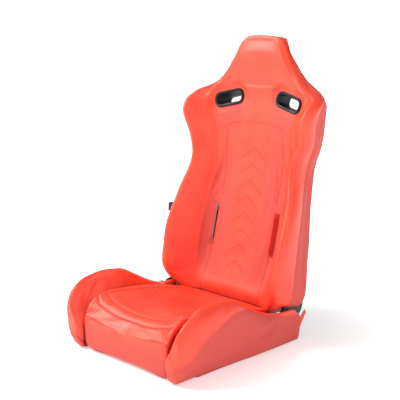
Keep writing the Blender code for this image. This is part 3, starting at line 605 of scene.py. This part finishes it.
def detailBack(cover):
    points = pointsOf(cover)
    x, v, w = offBack(points)
    normals = pointsOf(cover, "normal")
    facing = -normals[:, 1] * leanCos + normals[:, 2] * leanSin
    front = ramp(facing, 0.10, 0.45) * ramp(w, 0.015, 0.035)
    ax = np.abs(x)
    arch = back["arch"]
    archX = curveOf([(b, a) for a, b in arch[:7]], v)
    archTop = curveOf([(a, b) for a, b in arch[:3:-1]], ax)
    edge = lineDistance(ax, v, arch)
    insideArch = (v < archTop) & (ax < archX) & (v > 0.285)
    signed = np.where(insideArch, edge, -edge)
    nearArch = (v > 0.27) | (signed > 0)
    depth, edgeHalf = back["panelStep"]
    panel = np.where(v > 0.20, ramp(signed, -edgeHalf, edgeHalf), 0.0)
    sink = depth * panel * (1 - 0.7 * ramp(signed, 0.01, 0.10))
    depth, wide, darkWide, sideDark, topShade = back["archLine"]
    sink += depth * groove(edge, wide) * nearArch
    # painted shade: the arch line darkens more along the top, where the step's own shading barely shows
    dark = sideDark + topShade * ramp(v, 0.46, 0.54)
    seamShade = dark * groove(edge, darkWide) * nearArch
    # pressed arrows down the middle, with painted shade in their grooves
    arm, drop = back["chevronArm"]
    fade = 1 - 0.35 * ramp(ax, 0.02, arm)
    for top in back["chevrons"]:
        dip, dark = press(lineDistance(ax, v, ((0.0, top), (arm, top - drop))), back["arrowLine"])
        sink += dip * fade
        above = lineDistance(ax, v, ((0.004, top + 0.007), (arm * 0.95, top - drop + 0.010)))
        height, wide = back["arrowRidge"]
        sink -= height * groove(above, wide) * fade
        seamShade = np.maximum(seamShade, dark * fade)
    # sewn lines, with painted shade along them
    for route, line in back["sewn"]:
        dip, dark = press(lineDistance(ax, v, route), line)
        sink += dip
        seamShade = np.maximum(seamShade, dark)
    # plain pressed hexagons on the headrest, with painted shade in their grooves
    angle = np.arctan2(v - back["hexagonUp"], x)
    reach = np.hypot(x, v - back["hexagonUp"])
    hexagon = reach * np.cos((angle + math.pi / 6) % (math.pi / 3) - math.pi / 6)
    for radius, line in back["hexagons"]:
        dip, dark = press(np.abs(hexagon - radius), line)
        sink += dip * (w > 0.05)
        seamShade = np.maximum(seamShade, dark * (w > 0.05))
    # the cover dips to the slot rims and rolls into the side slots
    for side in (-1, 1):
        distance = harnessDistance(x, v, side)
        face = back["face"][0] + back["face"][1] * np.maximum(ax - back["face"][2], 0.0) - 0.0006
        share = 1 - ramp(distance, 0.0105, 0.034)
        target = np.minimum(w, face)
        near = (np.sign(x) == side) & (w > 0.045)
        w = np.where(near, w + (target - w) * share, w)
    # painted shade at the rims where the cover rolls into the side slots
    slotEdge = boxDistance(ax, v, back["sideFront"], back["sideUp"])
    dip, dark = press(np.maximum(slotEdge, 0.0), back["slotLine"])
    sink += dip * (w > 0.02)
    seamShade = np.maximum(seamShade, dark * (w > 0.0) * (w < 0.12))
    sink = crumple(sink, x, v, creases["back"])
    w = w - sink * front
    # gusset seam along both sides, with painted shade in it
    crestW, rearW = curveOf(back["crestForward"], v), curveOf(back["rearForward"], v)
    seamW = rearW + 0.50 * (crestW - rearW)
    side = ramp(np.abs(normals[:, 0]), 0.35, 0.7) * ramp(v, 0.0, 0.02)
    dip, dark = press(np.abs(w - seamW), back["gussetLine"])
    x = x - np.sign(x) * (dip * side * (ax > 0.06))
    seamShade = np.maximum(seamShade, dark * side)
    # painted shade along the bottom of the backrest, where it meets the seat
    seamShade = np.maximum(seamShade, 0.9 * (1 - ramp(v, -0.030, -0.020)))
    matte = (1 - ramp(w - seamW, -0.010, 0.010)) * ramp(ax, 0.055, 0.07)
    movePoints(cover, onBack(x, v, w))
    # the panel mask carries the panel's painted highlight
    paintAll(cover, seamShade, matte, panel * front)


def cutBack(cover):
    tunnels = []
    for side in (-1, 1):
        ends = [harnessPoints(side, back["tunnelRoom"], reach) for reach in (0.20, -0.20)]
        tunnels.append(hullPiece("tunnel", ends[0] + ends[1]))
        bottom, top = back["sideUp"]
        (frontIn, frontOut), (rearIn, rearOut) = back["sideFront"], back["sideRear"]
        rows = []
        for share, wide in back["slotShape"]:
            frontHalf, rearHalf = 0.5 * wide * (frontOut - frontIn), 0.5 * wide * (rearOut - rearIn)
            front, rear = 0.5 * (frontIn + frontOut), 0.5 * (rearIn + rearOut)
            spots = [(front + frontHalf, 0.16), (front + frontHalf, 0.045), (rear + rearHalf, -0.03),
                     (rear + rearHalf, -0.08), (rear - rearHalf, -0.08), (rear - rearHalf, -0.03),
                     (front - frontHalf, 0.045), (front - frontHalf, 0.16)]
            up = bottom + share * (top - bottom)
            rows.append([onBack(side * a, up, b) for a, b in spots])
        tunnels.append(skin("wedge", np.array(rows)))
    cutAway(cover, tunnels)
    room = back["rooms"]
    rim = [(b, a) for a, b in roundPoints(room["radius"])] + list(room["foot"])
    for outline, outer in ((rim, room["rimOut"]), (rim + list(room["plate"]), room["plateOut"])):
        cutAway(cover, [acrossPiece("room", outline, side * room["inside"], side * outer)
                        for side in (-1, 1)])
    cutAway(cover, [acrossPiece("shaftRoom", roundPoints(room["shaft"]), -0.300, room["rimOut"])])


# small creases: start, end, half width, depth
creases = {
    "back": (
        ((-0.150, 0.300), (-0.186, 0.330), 0.0040, 0.0016),
        ((-0.148, 0.288), (-0.190, 0.300), 0.0035, 0.0014),
        ((-0.120, 0.292), (-0.098, 0.306), 0.0030, 0.0012),
        ((0.146, 0.300), (0.176, 0.322), 0.0035, 0.0014),
        ((0.118, 0.290), (0.098, 0.302), 0.0030, 0.0012),
        ((-0.150, 0.128), (-0.182, 0.112), 0.0040, 0.0014),
        ((0.150, 0.128), (0.186, 0.110), 0.0040, 0.0016),
        ((0.205, 0.075), (0.250, 0.060), 0.0035, 0.0013),
        ((0.200, 0.056), (0.252, 0.044), 0.0030, 0.0012),
        ((0.208, 0.096), (0.252, 0.084), 0.0030, 0.0010),
        ((-0.196, 0.100), (-0.150, 0.060), 0.0060, 0.0014),
        ((0.225, 0.590), (0.246, 0.560), 0.0040, 0.0010),
        ((-0.226, 0.592), (-0.250, 0.560), 0.0040, 0.0008),
        ((-0.085, 0.020), (0.060, 0.012), 0.0060, 0.0010),
    ),
    "seat": (
        ((-0.020, -0.085), (-0.150, -0.060), 0.0040, 0.0014),
        ((-0.030, -0.100), (-0.165, -0.098), 0.0050, 0.0012),
        ((-0.025, -0.110), (-0.130, -0.160), 0.0045, 0.0014),
        ((0.020, -0.120), (-0.040, -0.190), 0.0050, 0.0010),
        ((0.040, -0.070), (0.110, -0.030), 0.0050, 0.0010),
        ((0.060, -0.120), (0.140, -0.110), 0.0055, 0.0008),
    ),
}


def makeBack():
    cover = makeBackCover()
    detailBack(cover)
    cutBack(cover)
    shadeSoft(cover, 50)
    dress(cover, leather)
    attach(cover, "backrest")
    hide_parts("backrest_cushion")
    print("backrest cover:", len(cover.data.polygons), "faces")
    return cover


# the middle cushion: outlines are (y, value) pairs
cushion = {
    "centreTop": ((-0.322, 0.072), (-0.318, 0.090), (-0.308, 0.110), (-0.29, 0.128),
                  (-0.265, 0.138), (-0.235, 0.141), (-0.20, 0.139), (-0.10, 0.129), (0.0, 0.121),
                  (0.10, 0.118), (0.118, 0.114), (0.130, 0.104)),
    "edgeTop": ((-0.322, 0.086), (-0.318, 0.108), (-0.308, 0.133), (-0.29, 0.153),
                (-0.265, 0.167), (-0.22, 0.173), (-0.18, 0.170), (-0.10, 0.162), (-0.02, 0.148),
                (0.03, 0.134), (0.085, 0.119), (0.112, 0.113), (0.130, 0.101)),
    "halfWidth": ((-0.322, 0.184), (-0.310, 0.1888), (-0.29, 0.190)),
    "skirt": ((-0.322, 0.034), (-0.317, 0.018), (-0.309, 0.006), (-0.300, 0.002)),
    "noseBack": -0.240,
    "underside": 0.052,
    "columns": (8, 8, 8, 8, 8, 8, 3, 12, 12, 4, 4),
    "seamFront": ((-0.190, -0.262), (-0.158, -0.281), (-0.063, -0.284), (0.063, -0.284),
                  (0.158, -0.281), (0.190, -0.262)),
    "seamInner": ((-0.192, -0.226), (-0.140, -0.247), (-0.060, -0.254), (0.060, -0.254),
                  (0.140, -0.247), (0.192, -0.226)),
    "lipLine": (0.0030, 0.0040, 0.0024, 0.9),
    "innerLine": (0.0022, 0.0040, 0.0022, 0.6),
    "roll": (0.0016, 0.014, 0.010),    # height, how far behind the lip seam, half width
    "matteUp": (0.062, 0.104),
    "swell": 0.005,
}


def makeSeatCover():
    y = np.concatenate([np.linspace(-0.316, -0.290, 7), np.arange(-0.285, -0.243, 0.006),
                        [-0.2405, -0.2395], np.arange(-0.234, 0.121, 0.006), [0.122]])
    middle, edge = curveOf(cushion["centreTop"], y), curveOf(cushion["edgeTop"], y)
    half, skirt = curveOf(cushion["halfWidth"], y), curveOf(cushion["skirt"], y)
    bottom = np.where(y < cushion["noseBack"], skirt, cushion["underside"])
    foot = half - 0.012
    corners = [(share * (half - 0.004), middle + (edge - middle) * share**2.2)
               for share in np.linspace(0, 1, 7)]
    corners += [(half, edge - 0.010), (half, 0.5 * (edge + bottom)), (foot, bottom),
                (0.5 * foot, bottom), (0 * y, bottom)]
    corners = [np.stack(pair, axis=-1) for pair in corners]
    corners += [corner * np.array((-1.0, 1.0)) for corner in corners[-2:0:-1]]
    counts = list(cushion["columns"]) + list(cushion["columns"])[::-1]
    profile = closedSpline(np.stack(corners, axis=1), counts)
    rings = closeEnds(alongSeat(profile, y), 0.008, (0.0, 1.0, 0.0), 0.002, 10)
    cover = skin("seatCover", rings)
    modify(cover, "SMOOTH", iterations=2)
    points = pointsOf(cover)
    hold = 1 - ramp(points[:, 2], 0.055, 0.085)
    hold = np.where(points[:, 1] < -0.29, 1 - ramp(points[:, 2], 0.022, 0.055), hold)
    hold = np.maximum(hold, ramp(np.abs(points[:, 0]), 0.172, 0.186))
    hold = np.maximum(hold, ramp(points[:, 1], 0.070, 0.105))
    swell(cover, hold, cushion["swell"])
    modify(cover, "SUBSURF", levels=1)
    return cover


def detailSeat(cover):
    points, normals = pointsOf(cover), pointsOf(cover, "normal")
    x, y, z = points[:, 0], points[:, 1] - seat["shift"], points[:, 2]
    top = ramp(normals[:, 2], 0.15, 0.5) * ramp(z, 0.07, 0.09)
    face = ramp(-normals[:, 1], 0.25, 0.6)
    seamA = lineDistance(x, y, cushion["seamFront"])
    seamB = lineDistance(x, y, cushion["seamInner"])
    # the two seams across the front, with painted shade along them
    (dipA, darkA), (dipB, darkB) = press(seamA, cushion["lipLine"]), press(seamB, cushion["innerLine"])
    sink = dipA + dipB
    seamShade = np.maximum(darkA, darkB) * top
    # a low roll between the two seams
    lift, behind, wide = cushion["roll"]
    sink -= lift * groove(lineDistance(x, y - behind, cushion["seamFront"]), wide)
    sink = crumple(sink, x, y, creases["seat"])
    z = z - sink * top
    matte = face * (1 - ramp(z, *cushion["matteUp"])) * (y < -0.27)
    flank = ramp(np.abs(normals[:, 0]), 0.5, 0.8)
    matte = np.maximum(matte, 0.6 * flank * (z < 0.14))
    # painted shade on the hidden sides, where they show between the cushion and the bolsters
    rim = curveOf(cushion["edgeTop"], y)
    seamShade = np.maximum(seamShade, flank * (1 - ramp(z - rim, -0.016, -0.006)) * (y > -0.318))
    movePoints(cover, np.stack([x, y + seat["shift"], np.maximum(z, padding["floor"])], axis=-1))
    # coloured darker along the bottom few millimetres
    seamShade = np.maximum(seamShade, 1 - ramp(z, *padding["darkBottom"]))
    paintAll(cover, seamShade, matte, 0 * x)


def makeSeat():
    cover = makeSeatCover()
    detailSeat(cover)
    shadeSoft(cover, 50)
    dress(cover, leather)
    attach(cover, "base")
    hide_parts("seat_cushion")
    print("seat cover:", len(cover.data.polygons), "faces")
    return cover


# one seat bolster, made twice: outlines are (y, value) pairs
bolster = {
    "crest": ((-0.345, 0.125), (-0.33, 0.166), (-0.30, 0.197), (-0.255, 0.218), (-0.19, 0.225),
              (-0.117, 0.216), (-0.05, 0.182), (-0.013, 0.159), (0.034, 0.136), (0.06, 0.127),
              (0.09, 0.120), (0.15, 0.117), (0.185, 0.110), (0.205, 0.094), (0.218, 0.084)),
    "bottom": ((-0.345, 0.075), (-0.338, 0.035), (-0.326, 0.010), (-0.310, 0.002), (0.218, 0.002)),
    "outer": ((-0.345, 0.246), (-0.32, 0.264), (-0.27, 0.271), (0.0, 0.269), (0.10, 0.262),
              (0.218, 0.251)),
    "foot": ((-0.345, 0.226), (-0.30, 0.222), (-0.10, 0.232), (0.05, 0.242), (0.218, 0.244)),
    "inner": ((-0.345, 0.2050), (-0.325, 0.1945), (-0.30, 0.1920), (-0.24, 0.1915), (0.0, 0.1915),
              (0.05, 0.210), (0.09, 0.2392), (0.218, 0.2392)),
    "railSide": 0.2293,
    "ledge": 0.036,
    "columns": (5, 6, 6, 4, 4, 6, 5, 7, 2, 5, 2),
    "join": ((-0.345, 0.078), (-0.33, 0.080), (-0.31, 0.086), (-0.29, 0.102), (-0.26, 0.130),
             (-0.22, 0.158), (-0.18, 0.168)),
    # the line of the outer seam, along which a groove and painted shade run
    "seamShade": ((-0.345, 0.060), (-0.306, 0.079), (-0.257, 0.127), (-0.189, 0.156), (-0.118, 0.180),
             (-0.05, 0.172), (0.012, 0.150), (0.061, 0.124), (0.115, 0.108), (0.218, 0.085)),
    "outerLine": (0.0020, 0.0045, 0.0030, 0.20),
    "ridgeIn": 0.030,                  # the sewn ridge along the top, in from the outer side
    "ridgeLine": (0.0016, 0.0032, 0.0022, 0.20),
    "swell": 0.004,
}


def makeBolsterCover(label, side):
    y = np.concatenate([[-0.340, -0.338, -0.335, -0.3315], np.arange(-0.328, -0.243, 0.0055),
                        [-0.2405, -0.2395], np.arange(-0.234, 0.20, 0.006),
                        [0.204, 0.209, 0.2135, 0.218]])
    crest, bottom = curveOf(bolster["crest"], y), curveOf(bolster["bottom"], y)
    outer, inner = curveOf(bolster["outer"], y), curveOf(bolster["inner"], y)
    foot = curveOf(bolster["foot"], y)
    join = np.minimum(curveOf(cushion["edgeTop"], y), crest - 0.004)
    join = np.where(y < -0.18, np.minimum(join, curveOf(bolster["join"], y)), join)
    fall = 0.25 + 0.34 * (1 - ramp(y, -0.30, -0.20))
    span, tall = outer - inner, crest - bottom
    middle = y > cushion["noseBack"]
    notch = np.where(middle, np.maximum(inner + 0.002, bolster["railSide"]), inner + 0.002)
    ledge = np.where(middle, bolster["ledge"], bottom + 0.35 * (join - bottom))
    corners = [(foot, bottom), (outer - 0.3 * (outer - foot), bottom + 0.24 * tall),
               (outer, bottom + 0.55 * tall), (outer - 0.03 * span, crest - 0.15 * tall),
               (outer - 0.14 * span, crest - 0.03 * tall), (outer - 0.34 * span, crest),
               (inner + 0.36 * span, crest - fall * (crest - join)), (inner, join),
               (inner, ledge + 0.0005), (notch, ledge), (notch, bottom)]
    corners = np.stack([np.stack(pair, axis=-1) for pair in corners], axis=1)
    profile = closedSpline(corners, bolster["columns"])
    rings = closeEnds(alongSeat(profile, y, side)[1:-1], 0.003, (0.0, 1.0, 0.0), 0.001, 4)
    cover = skin("bolsterCover" + label, rings)
    modify(cover, "SMOOTH", iterations=2)
    points = pointsOf(cover)
    hold = 1 - ramp(points[:, 2], 0.03, 0.07)
    hold = np.maximum(hold, 1 - ramp(np.abs(points[:, 0]), 0.205, 0.222))
    hold = np.maximum(hold, ramp(points[:, 1], 0.060, 0.090))
    swell(cover, hold, bolster["swell"])
    modify(cover, "SUBSURF", levels=1)
    return cover


def detailBolster(cover, side):
    points, normals = pointsOf(cover), pointsOf(cover, "normal")
    x, y, z = points[:, 0], points[:, 1] - seat["shift"], points[:, 2]
    outward = ramp(side * normals[:, 0], 0.15, 0.5)
    places = np.linspace(-0.345, 0.218, 60)
    line = lineDistance(y, z, list(zip(places, curveOf(bolster["seamShade"], places))))
    # painted shade in the outer seam
    dip, dark = press(line, bolster["outerLine"])
    sink = dip * outward
    seamShade = dark * outward
    below = 1 - ramp(z - curveOf(bolster["seamShade"], y), -0.012, 0.010)
    matte = below * np.maximum(outward, (z < 0.05) * 0.8)
    ridge = np.abs(side * x - (curveOf(bolster["outer"], y) - bolster["ridgeIn"]))
    top = ramp(normals[:, 2], 0.3, 0.6) * ramp(y, -0.325, -0.300) * (y < 0.10)
    # the sewn ridge along the top, with painted shade along it
    dip, dark = press(ridge, bolster["ridgeLine"])
    z = z - dip * top
    seamShade = np.maximum(seamShade, dark * top)
    # coloured darker along the bottom few millimetres
    seamShade = np.maximum(seamShade, 1 - ramp(z, *padding["darkBottom"]))
    # painted shade low on the inner side, where it meets the cushion
    hidden = ramp(-side * normals[:, 0], 0.7, 0.95) * (np.abs(x) < 0.2) * (y > -0.322)
    rim = np.minimum(curveOf(cushion["edgeTop"], y), curveOf(bolster["join"], y))
    seamShade = np.maximum(seamShade, hidden * (1 - ramp(z - rim, -0.006, 0.004)))
    z = np.maximum(z, padding["floor"])
    movePoints(cover, np.stack([x - side * sink, y + seat["shift"], z], axis=-1))
    paintAll(cover, seamShade, matte, 0 * x)


def makeBolster(label, side):
    cover = makeBolsterCover(label, side)
    detailBolster(cover, side)
    shadeSoft(cover, 50)
    dress(cover, leather)
    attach(cover, "base")
    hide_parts("seat_bolster_" + label.lower())
    print("bolster cover:", len(cover.data.polygons), "faces")
    return cover


def makeBlock(name, low, high):
    middle = [0.5 * (a + b) for a, b in zip(low, high)]
    bpy.ops.mesh.primitive_cube_add(size=1.0, location=middle)
    piece = bpy.context.object
    piece.name = name
    bpy.ops.transform.resize(value=[b - a for a, b in zip(low, high)])
    bpy.ops.object.transform_apply(location=True, rotation=True, scale=True)
    return piece


def shiftPoints(piece, picked, move):
    choose(piece)
    bpy.context.tool_settings.mesh_select_mode = (True, False, False)
    bpy.ops.object.mode_set(mode="EDIT")
    bpy.ops.mesh.select_all(action="DESELECT")
    bpy.ops.object.mode_set(mode="OBJECT")
    for vertex in piece.data.vertices:
        vertex.select = picked(vertex.co)
    bpy.ops.object.mode_set(mode="EDIT")
    bpy.ops.transform.translate(value=move)
    bpy.ops.object.mode_set(mode="OBJECT")


def roundEdges(piece, width, segments, cuts=0):
    choose(piece)
    if cuts:
        bpy.ops.object.mode_set(mode="EDIT")
        bpy.ops.mesh.select_all(action="SELECT")
        bpy.ops.mesh.subdivide(number_cuts=cuts)
        bpy.ops.object.mode_set(mode="OBJECT")
    modify(piece, "BEVEL", width=width, segments=segments, limit_method="ANGLE")
    shadeSoft(piece, 40)


flap = {
    "low": (0.2421, 0.219, 0.034), "high": (0.2457, 0.254, 0.094),
    # corner picked by being rear or front, top or bottom, and its move along Y and Z
    "moves": (((True, False), (0.0, 0.050)), ((True, True), (-0.006, 0.0)),
              ((False, True), (0.0, -0.028))),
    "bevel": 0.0013,
}


def makeFlap(label, side):
    (lowX, lowY, lowZ), (highX, highY, highZ) = flap["low"], flap["high"]
    shift = seat["shift"]
    low, high = sorted((side * lowX, side * highX))
    piece = makeBlock("coverFlap" + label, (low, lowY + shift, lowZ), (high, highY + shift, highZ))
    middleY, middleZ = 0.5 * (lowY + highY) + shift, 0.5 * (lowZ + highZ)
    spots = []
    for (rear, top), (alongY, alongZ) in flap["moves"]:
        picked = [tuple(v.co) for v in piece.data.vertices
                  if (v.co.y > middleY) == rear and (v.co.z > middleZ) == top]
        spots.append((picked, (0.0, alongY, alongZ)))
    for picked, move in spots:
        shiftPoints(piece, lambda co, picked=picked: tuple(co) in picked, move)
    roundEdges(piece, flap["bevel"], 2, 3)
    for name, value in (("seamShade", 0.0), ("matte", 0.25), ("panel", 0.0)):
        paint(piece, name, np.full(len(piece.data.vertices), value))
    dress(piece, leather)
    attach(piece, "base")
    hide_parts("cover_flap_" + label.lower())


tab = {
    "up": 0.240, "forward": 0.122, "start": 0.2602, "reach": 0.0225, "tall": 0.030, "thick": 0.0012,
    "fold": 0.0034, "lean": math.radians(12),
}


def makeTab():
    # webbing folded over on itself and sewn into the side seam
    x, y, z = onBack(-tab["start"], tab["up"], tab["forward"])
    piece = makeBlock("sideTab", (x - tab["reach"], y - 0.5 * tab["fold"], z - 0.5 * tab["tall"]),
                      (x, y + 0.5 * tab["fold"], z + 0.5 * tab["tall"]))
    choose(piece)
    bpy.ops.transform.rotate(value=seat["lean"], orient_axis="X", center_override=(x, y, z))
    bpy.ops.transform.rotate(value=tab["lean"], orient_axis="Y", center_override=(x, y, z))
    bpy.ops.object.transform_apply(location=True, rotation=True, scale=True)
    roundEdges(piece, tab["thick"], 3, 4)
    dress(piece, makeWebbing("tabWebbing"))
    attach(piece, "backrest")
    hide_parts("side_tab")


# finishes of the frame parts, which keep their own shapes
finishes = {
    "bezel": makeHard("bezelPlastic", (0.006, 0.006, 0.007), 0.50, 0.0, 900.0, 0.10, gleam=0.22),
    "ring": makeHard("rearRingPlastic", (0.020, 0.020, 0.022), 0.45, 0.0, 900.0, 0.12),
    "panel": makeHard("rearPanelPlastic", (0.022, 0.022, 0.024), 0.50, 0.0, 520.0, 0.35),
    "cover": makeHard("reclinerCoverPlastic", (0.020, 0.020, 0.022), 0.48, 0.0, 640.0, 0.30),
    "grip": makeHard("gripRubber", (0.016, 0.016, 0.017), 0.62, 0.0, 420.0, 0.35),
    "steel": makeHard("blackSteel", (0.014, 0.014, 0.016), 0.42, 0.35, 260.0, 0.10),
    "zinc": makeHard("zincPlate", (0.55, 0.55, 0.54), 0.34, 1.0, 380.0, 0.06, (0.66, 0.64, 0.58)),
    "spring": makeHard("springSteel", (0.16, 0.15, 0.15), 0.38, 1.0, 300.0, 0.06, (0.24, 0.22, 0.20)),
    "bright": makeHard("brightSteel", (0.50, 0.50, 0.51), 0.28, 1.0, 420.0, 0.04, (0.60, 0.60, 0.61)),
}

nodeFinish = (
    ("harness_bezel", "bezel"), ("harness_rear_ring", "ring"), ("back_panel", "panel"),
    ("recliner_cover", "cover"), ("recline_lever_grip", "grip"), ("mount_nut", "zinc"),
    ("base_bolt", "zinc"), ("recliner_bolt", "zinc"), ("panel_screw", "steel"),
    ("seat_spring", "spring"), ("back_spring", "spring"), ("recliner_spring", "spring"),
    ("recline_cross_shaft", "bright"),
)


def dressNodes():
    for name, item in nodes.items():
        if item.hide_render:
            continue
        chosen = next((look for start, look in nodeFinish if name.startswith(start)), "steel")
        for place in item.material_slots:
            place.material = finishes[chosen]
        if not item.material_slots:
            item.data.materials.append(finishes[chosen])


makeBack()
makeSeat()
makeBolster("Left", -1)
makeBolster("Right", 1)
for label, side in (("Left", -1), ("Right", 1)):
    makeFlap(label, side)
makeTab()
dressNodes()


studio = {
    # the camera: where it stands, in degrees and metres, and the point it looks at, across and up
    "turn": 44.012, "rise": 11.906, "distance": 2.7992, "lens": 883.24 / 400 * 36,
    "aim": (0.0064, 0.4609),
    # place, goal, size, power and colour of each light
    "lights": {
        "keyLight": ((-1.7, -1.5, 2.5), (0.0, 0.1, 0.50), 1.7, 122.0, (1.0, 0.95, 0.88)),
        "fillLight": ((2.7, -0.9, 2.0), (0.0, 0.0, 0.5), 1.6, 27.0, (0.98, 0.97, 1.0)),
        "topLight": ((-0.2, 0.2, 3.2), (0.0, 0.0, 0.4), 1.8, 14.0, (1.0, 1.0, 1.0)),
    },
    "sky": 0.32,
    "glow": (0.38, 0.95),              # how much the floor shines, near the seat and far from it
    "backdrop": (14.0, 1.7),           # how far away the pale wall stands, and its height
}


def makeStudio():
    turn, rise = math.radians(studio["turn"]), math.radians(studio["rise"])
    out, tall = studio["aim"]
    aim = Vector((out * math.cos(turn), out * math.sin(turn) + seat["shift"], tall))
    away = Vector((math.sin(turn) * math.cos(rise), -math.cos(turn) * math.cos(rise), math.sin(rise)))
    data = bpy.data.cameras.new("studioCamera")
    data.lens = studio["lens"]
    data.sensor_width = 36.0
    camera = bpy.data.objects.new("studioCamera", data)
    camera.location = aim + away * studio["distance"]
    camera.rotation_euler = away.to_track_quat("Z", "Y").to_euler()
    bpy.context.scene.collection.objects.link(camera)
    bpy.context.scene.camera = camera
    for name, (spot, goal, size, power, colour) in studio["lights"].items():
        lamp = bpy.data.lights.new(name, "AREA")
        lamp.shape = "SQUARE"
        lamp.size = size
        lamp.energy = power
        lamp.color = colour
        item = bpy.data.objects.new(name, lamp)
        item.location = spot
        item.rotation_euler = (Vector(spot) - Vector(goal)).to_track_quat("Z", "Y").to_euler()
        bpy.context.scene.collection.objects.link(item)
    world = bpy.data.worlds.new("studioSky")
    world.use_nodes = True
    sky = world.node_tree.nodes["Background"].inputs
    sky["Color"].default_value = (1.0, 1.0, 1.0, 1.0)
    sky["Strength"].default_value = studio["sky"]
    bpy.context.scene.world = world
    bpy.context.scene.view_settings.view_transform = "Standard"
    bpy.ops.mesh.primitive_plane_add(size=60.0, location=(0.0, 0.0, 0.0))
    floor = bpy.context.object
    floor.name = "studioFloor"
    mix = Recipe("glowingFloor")
    colour = mix.blend(mix.noise(3.0, 2.0), (0.90, 0.90, 0.90), (0.92, 0.92, 0.92))
    # the floor glows brighter further out: painted light, so that only the shadow close to the seat
    # shows
    spot = mix.node("ShaderNodeTexCoord", output="Object")
    away = mix.node("ShaderNodeVectorMath", {"operation": "LENGTH"}, {0: spot}, "Value")
    near, farther = studio["glow"]
    glow = mix.blend(mix.band(away, 0.35, 1.1), (near, near, near), (farther, farther, farther))
    dress(floor, mix.finish(Base_Color=colour, Roughness=0.9, Emission_Color=glow,
                            Emission_Strength=1.0))
    far, tall = studio["backdrop"]
    bpy.ops.mesh.primitive_cylinder_add(vertices=96, radius=far, depth=2 * tall,
                                        end_fill_type="NOTHING")
    wall = bpy.context.object
    wall.name = "studioBackdrop"
    mix = Recipe("paleBackdrop")
    colour = mix.blend(mix.noise(2.0, 2.0), (0.90, 0.90, 0.90), (0.92, 0.92, 0.92))
    dress(wall, mix.finish(Base_Color=colour, Roughness=0.9, Emission_Color=(1.0, 1.0, 1.0),
                           Emission_Strength=0.85))


makeStudio()
print("studio ready")
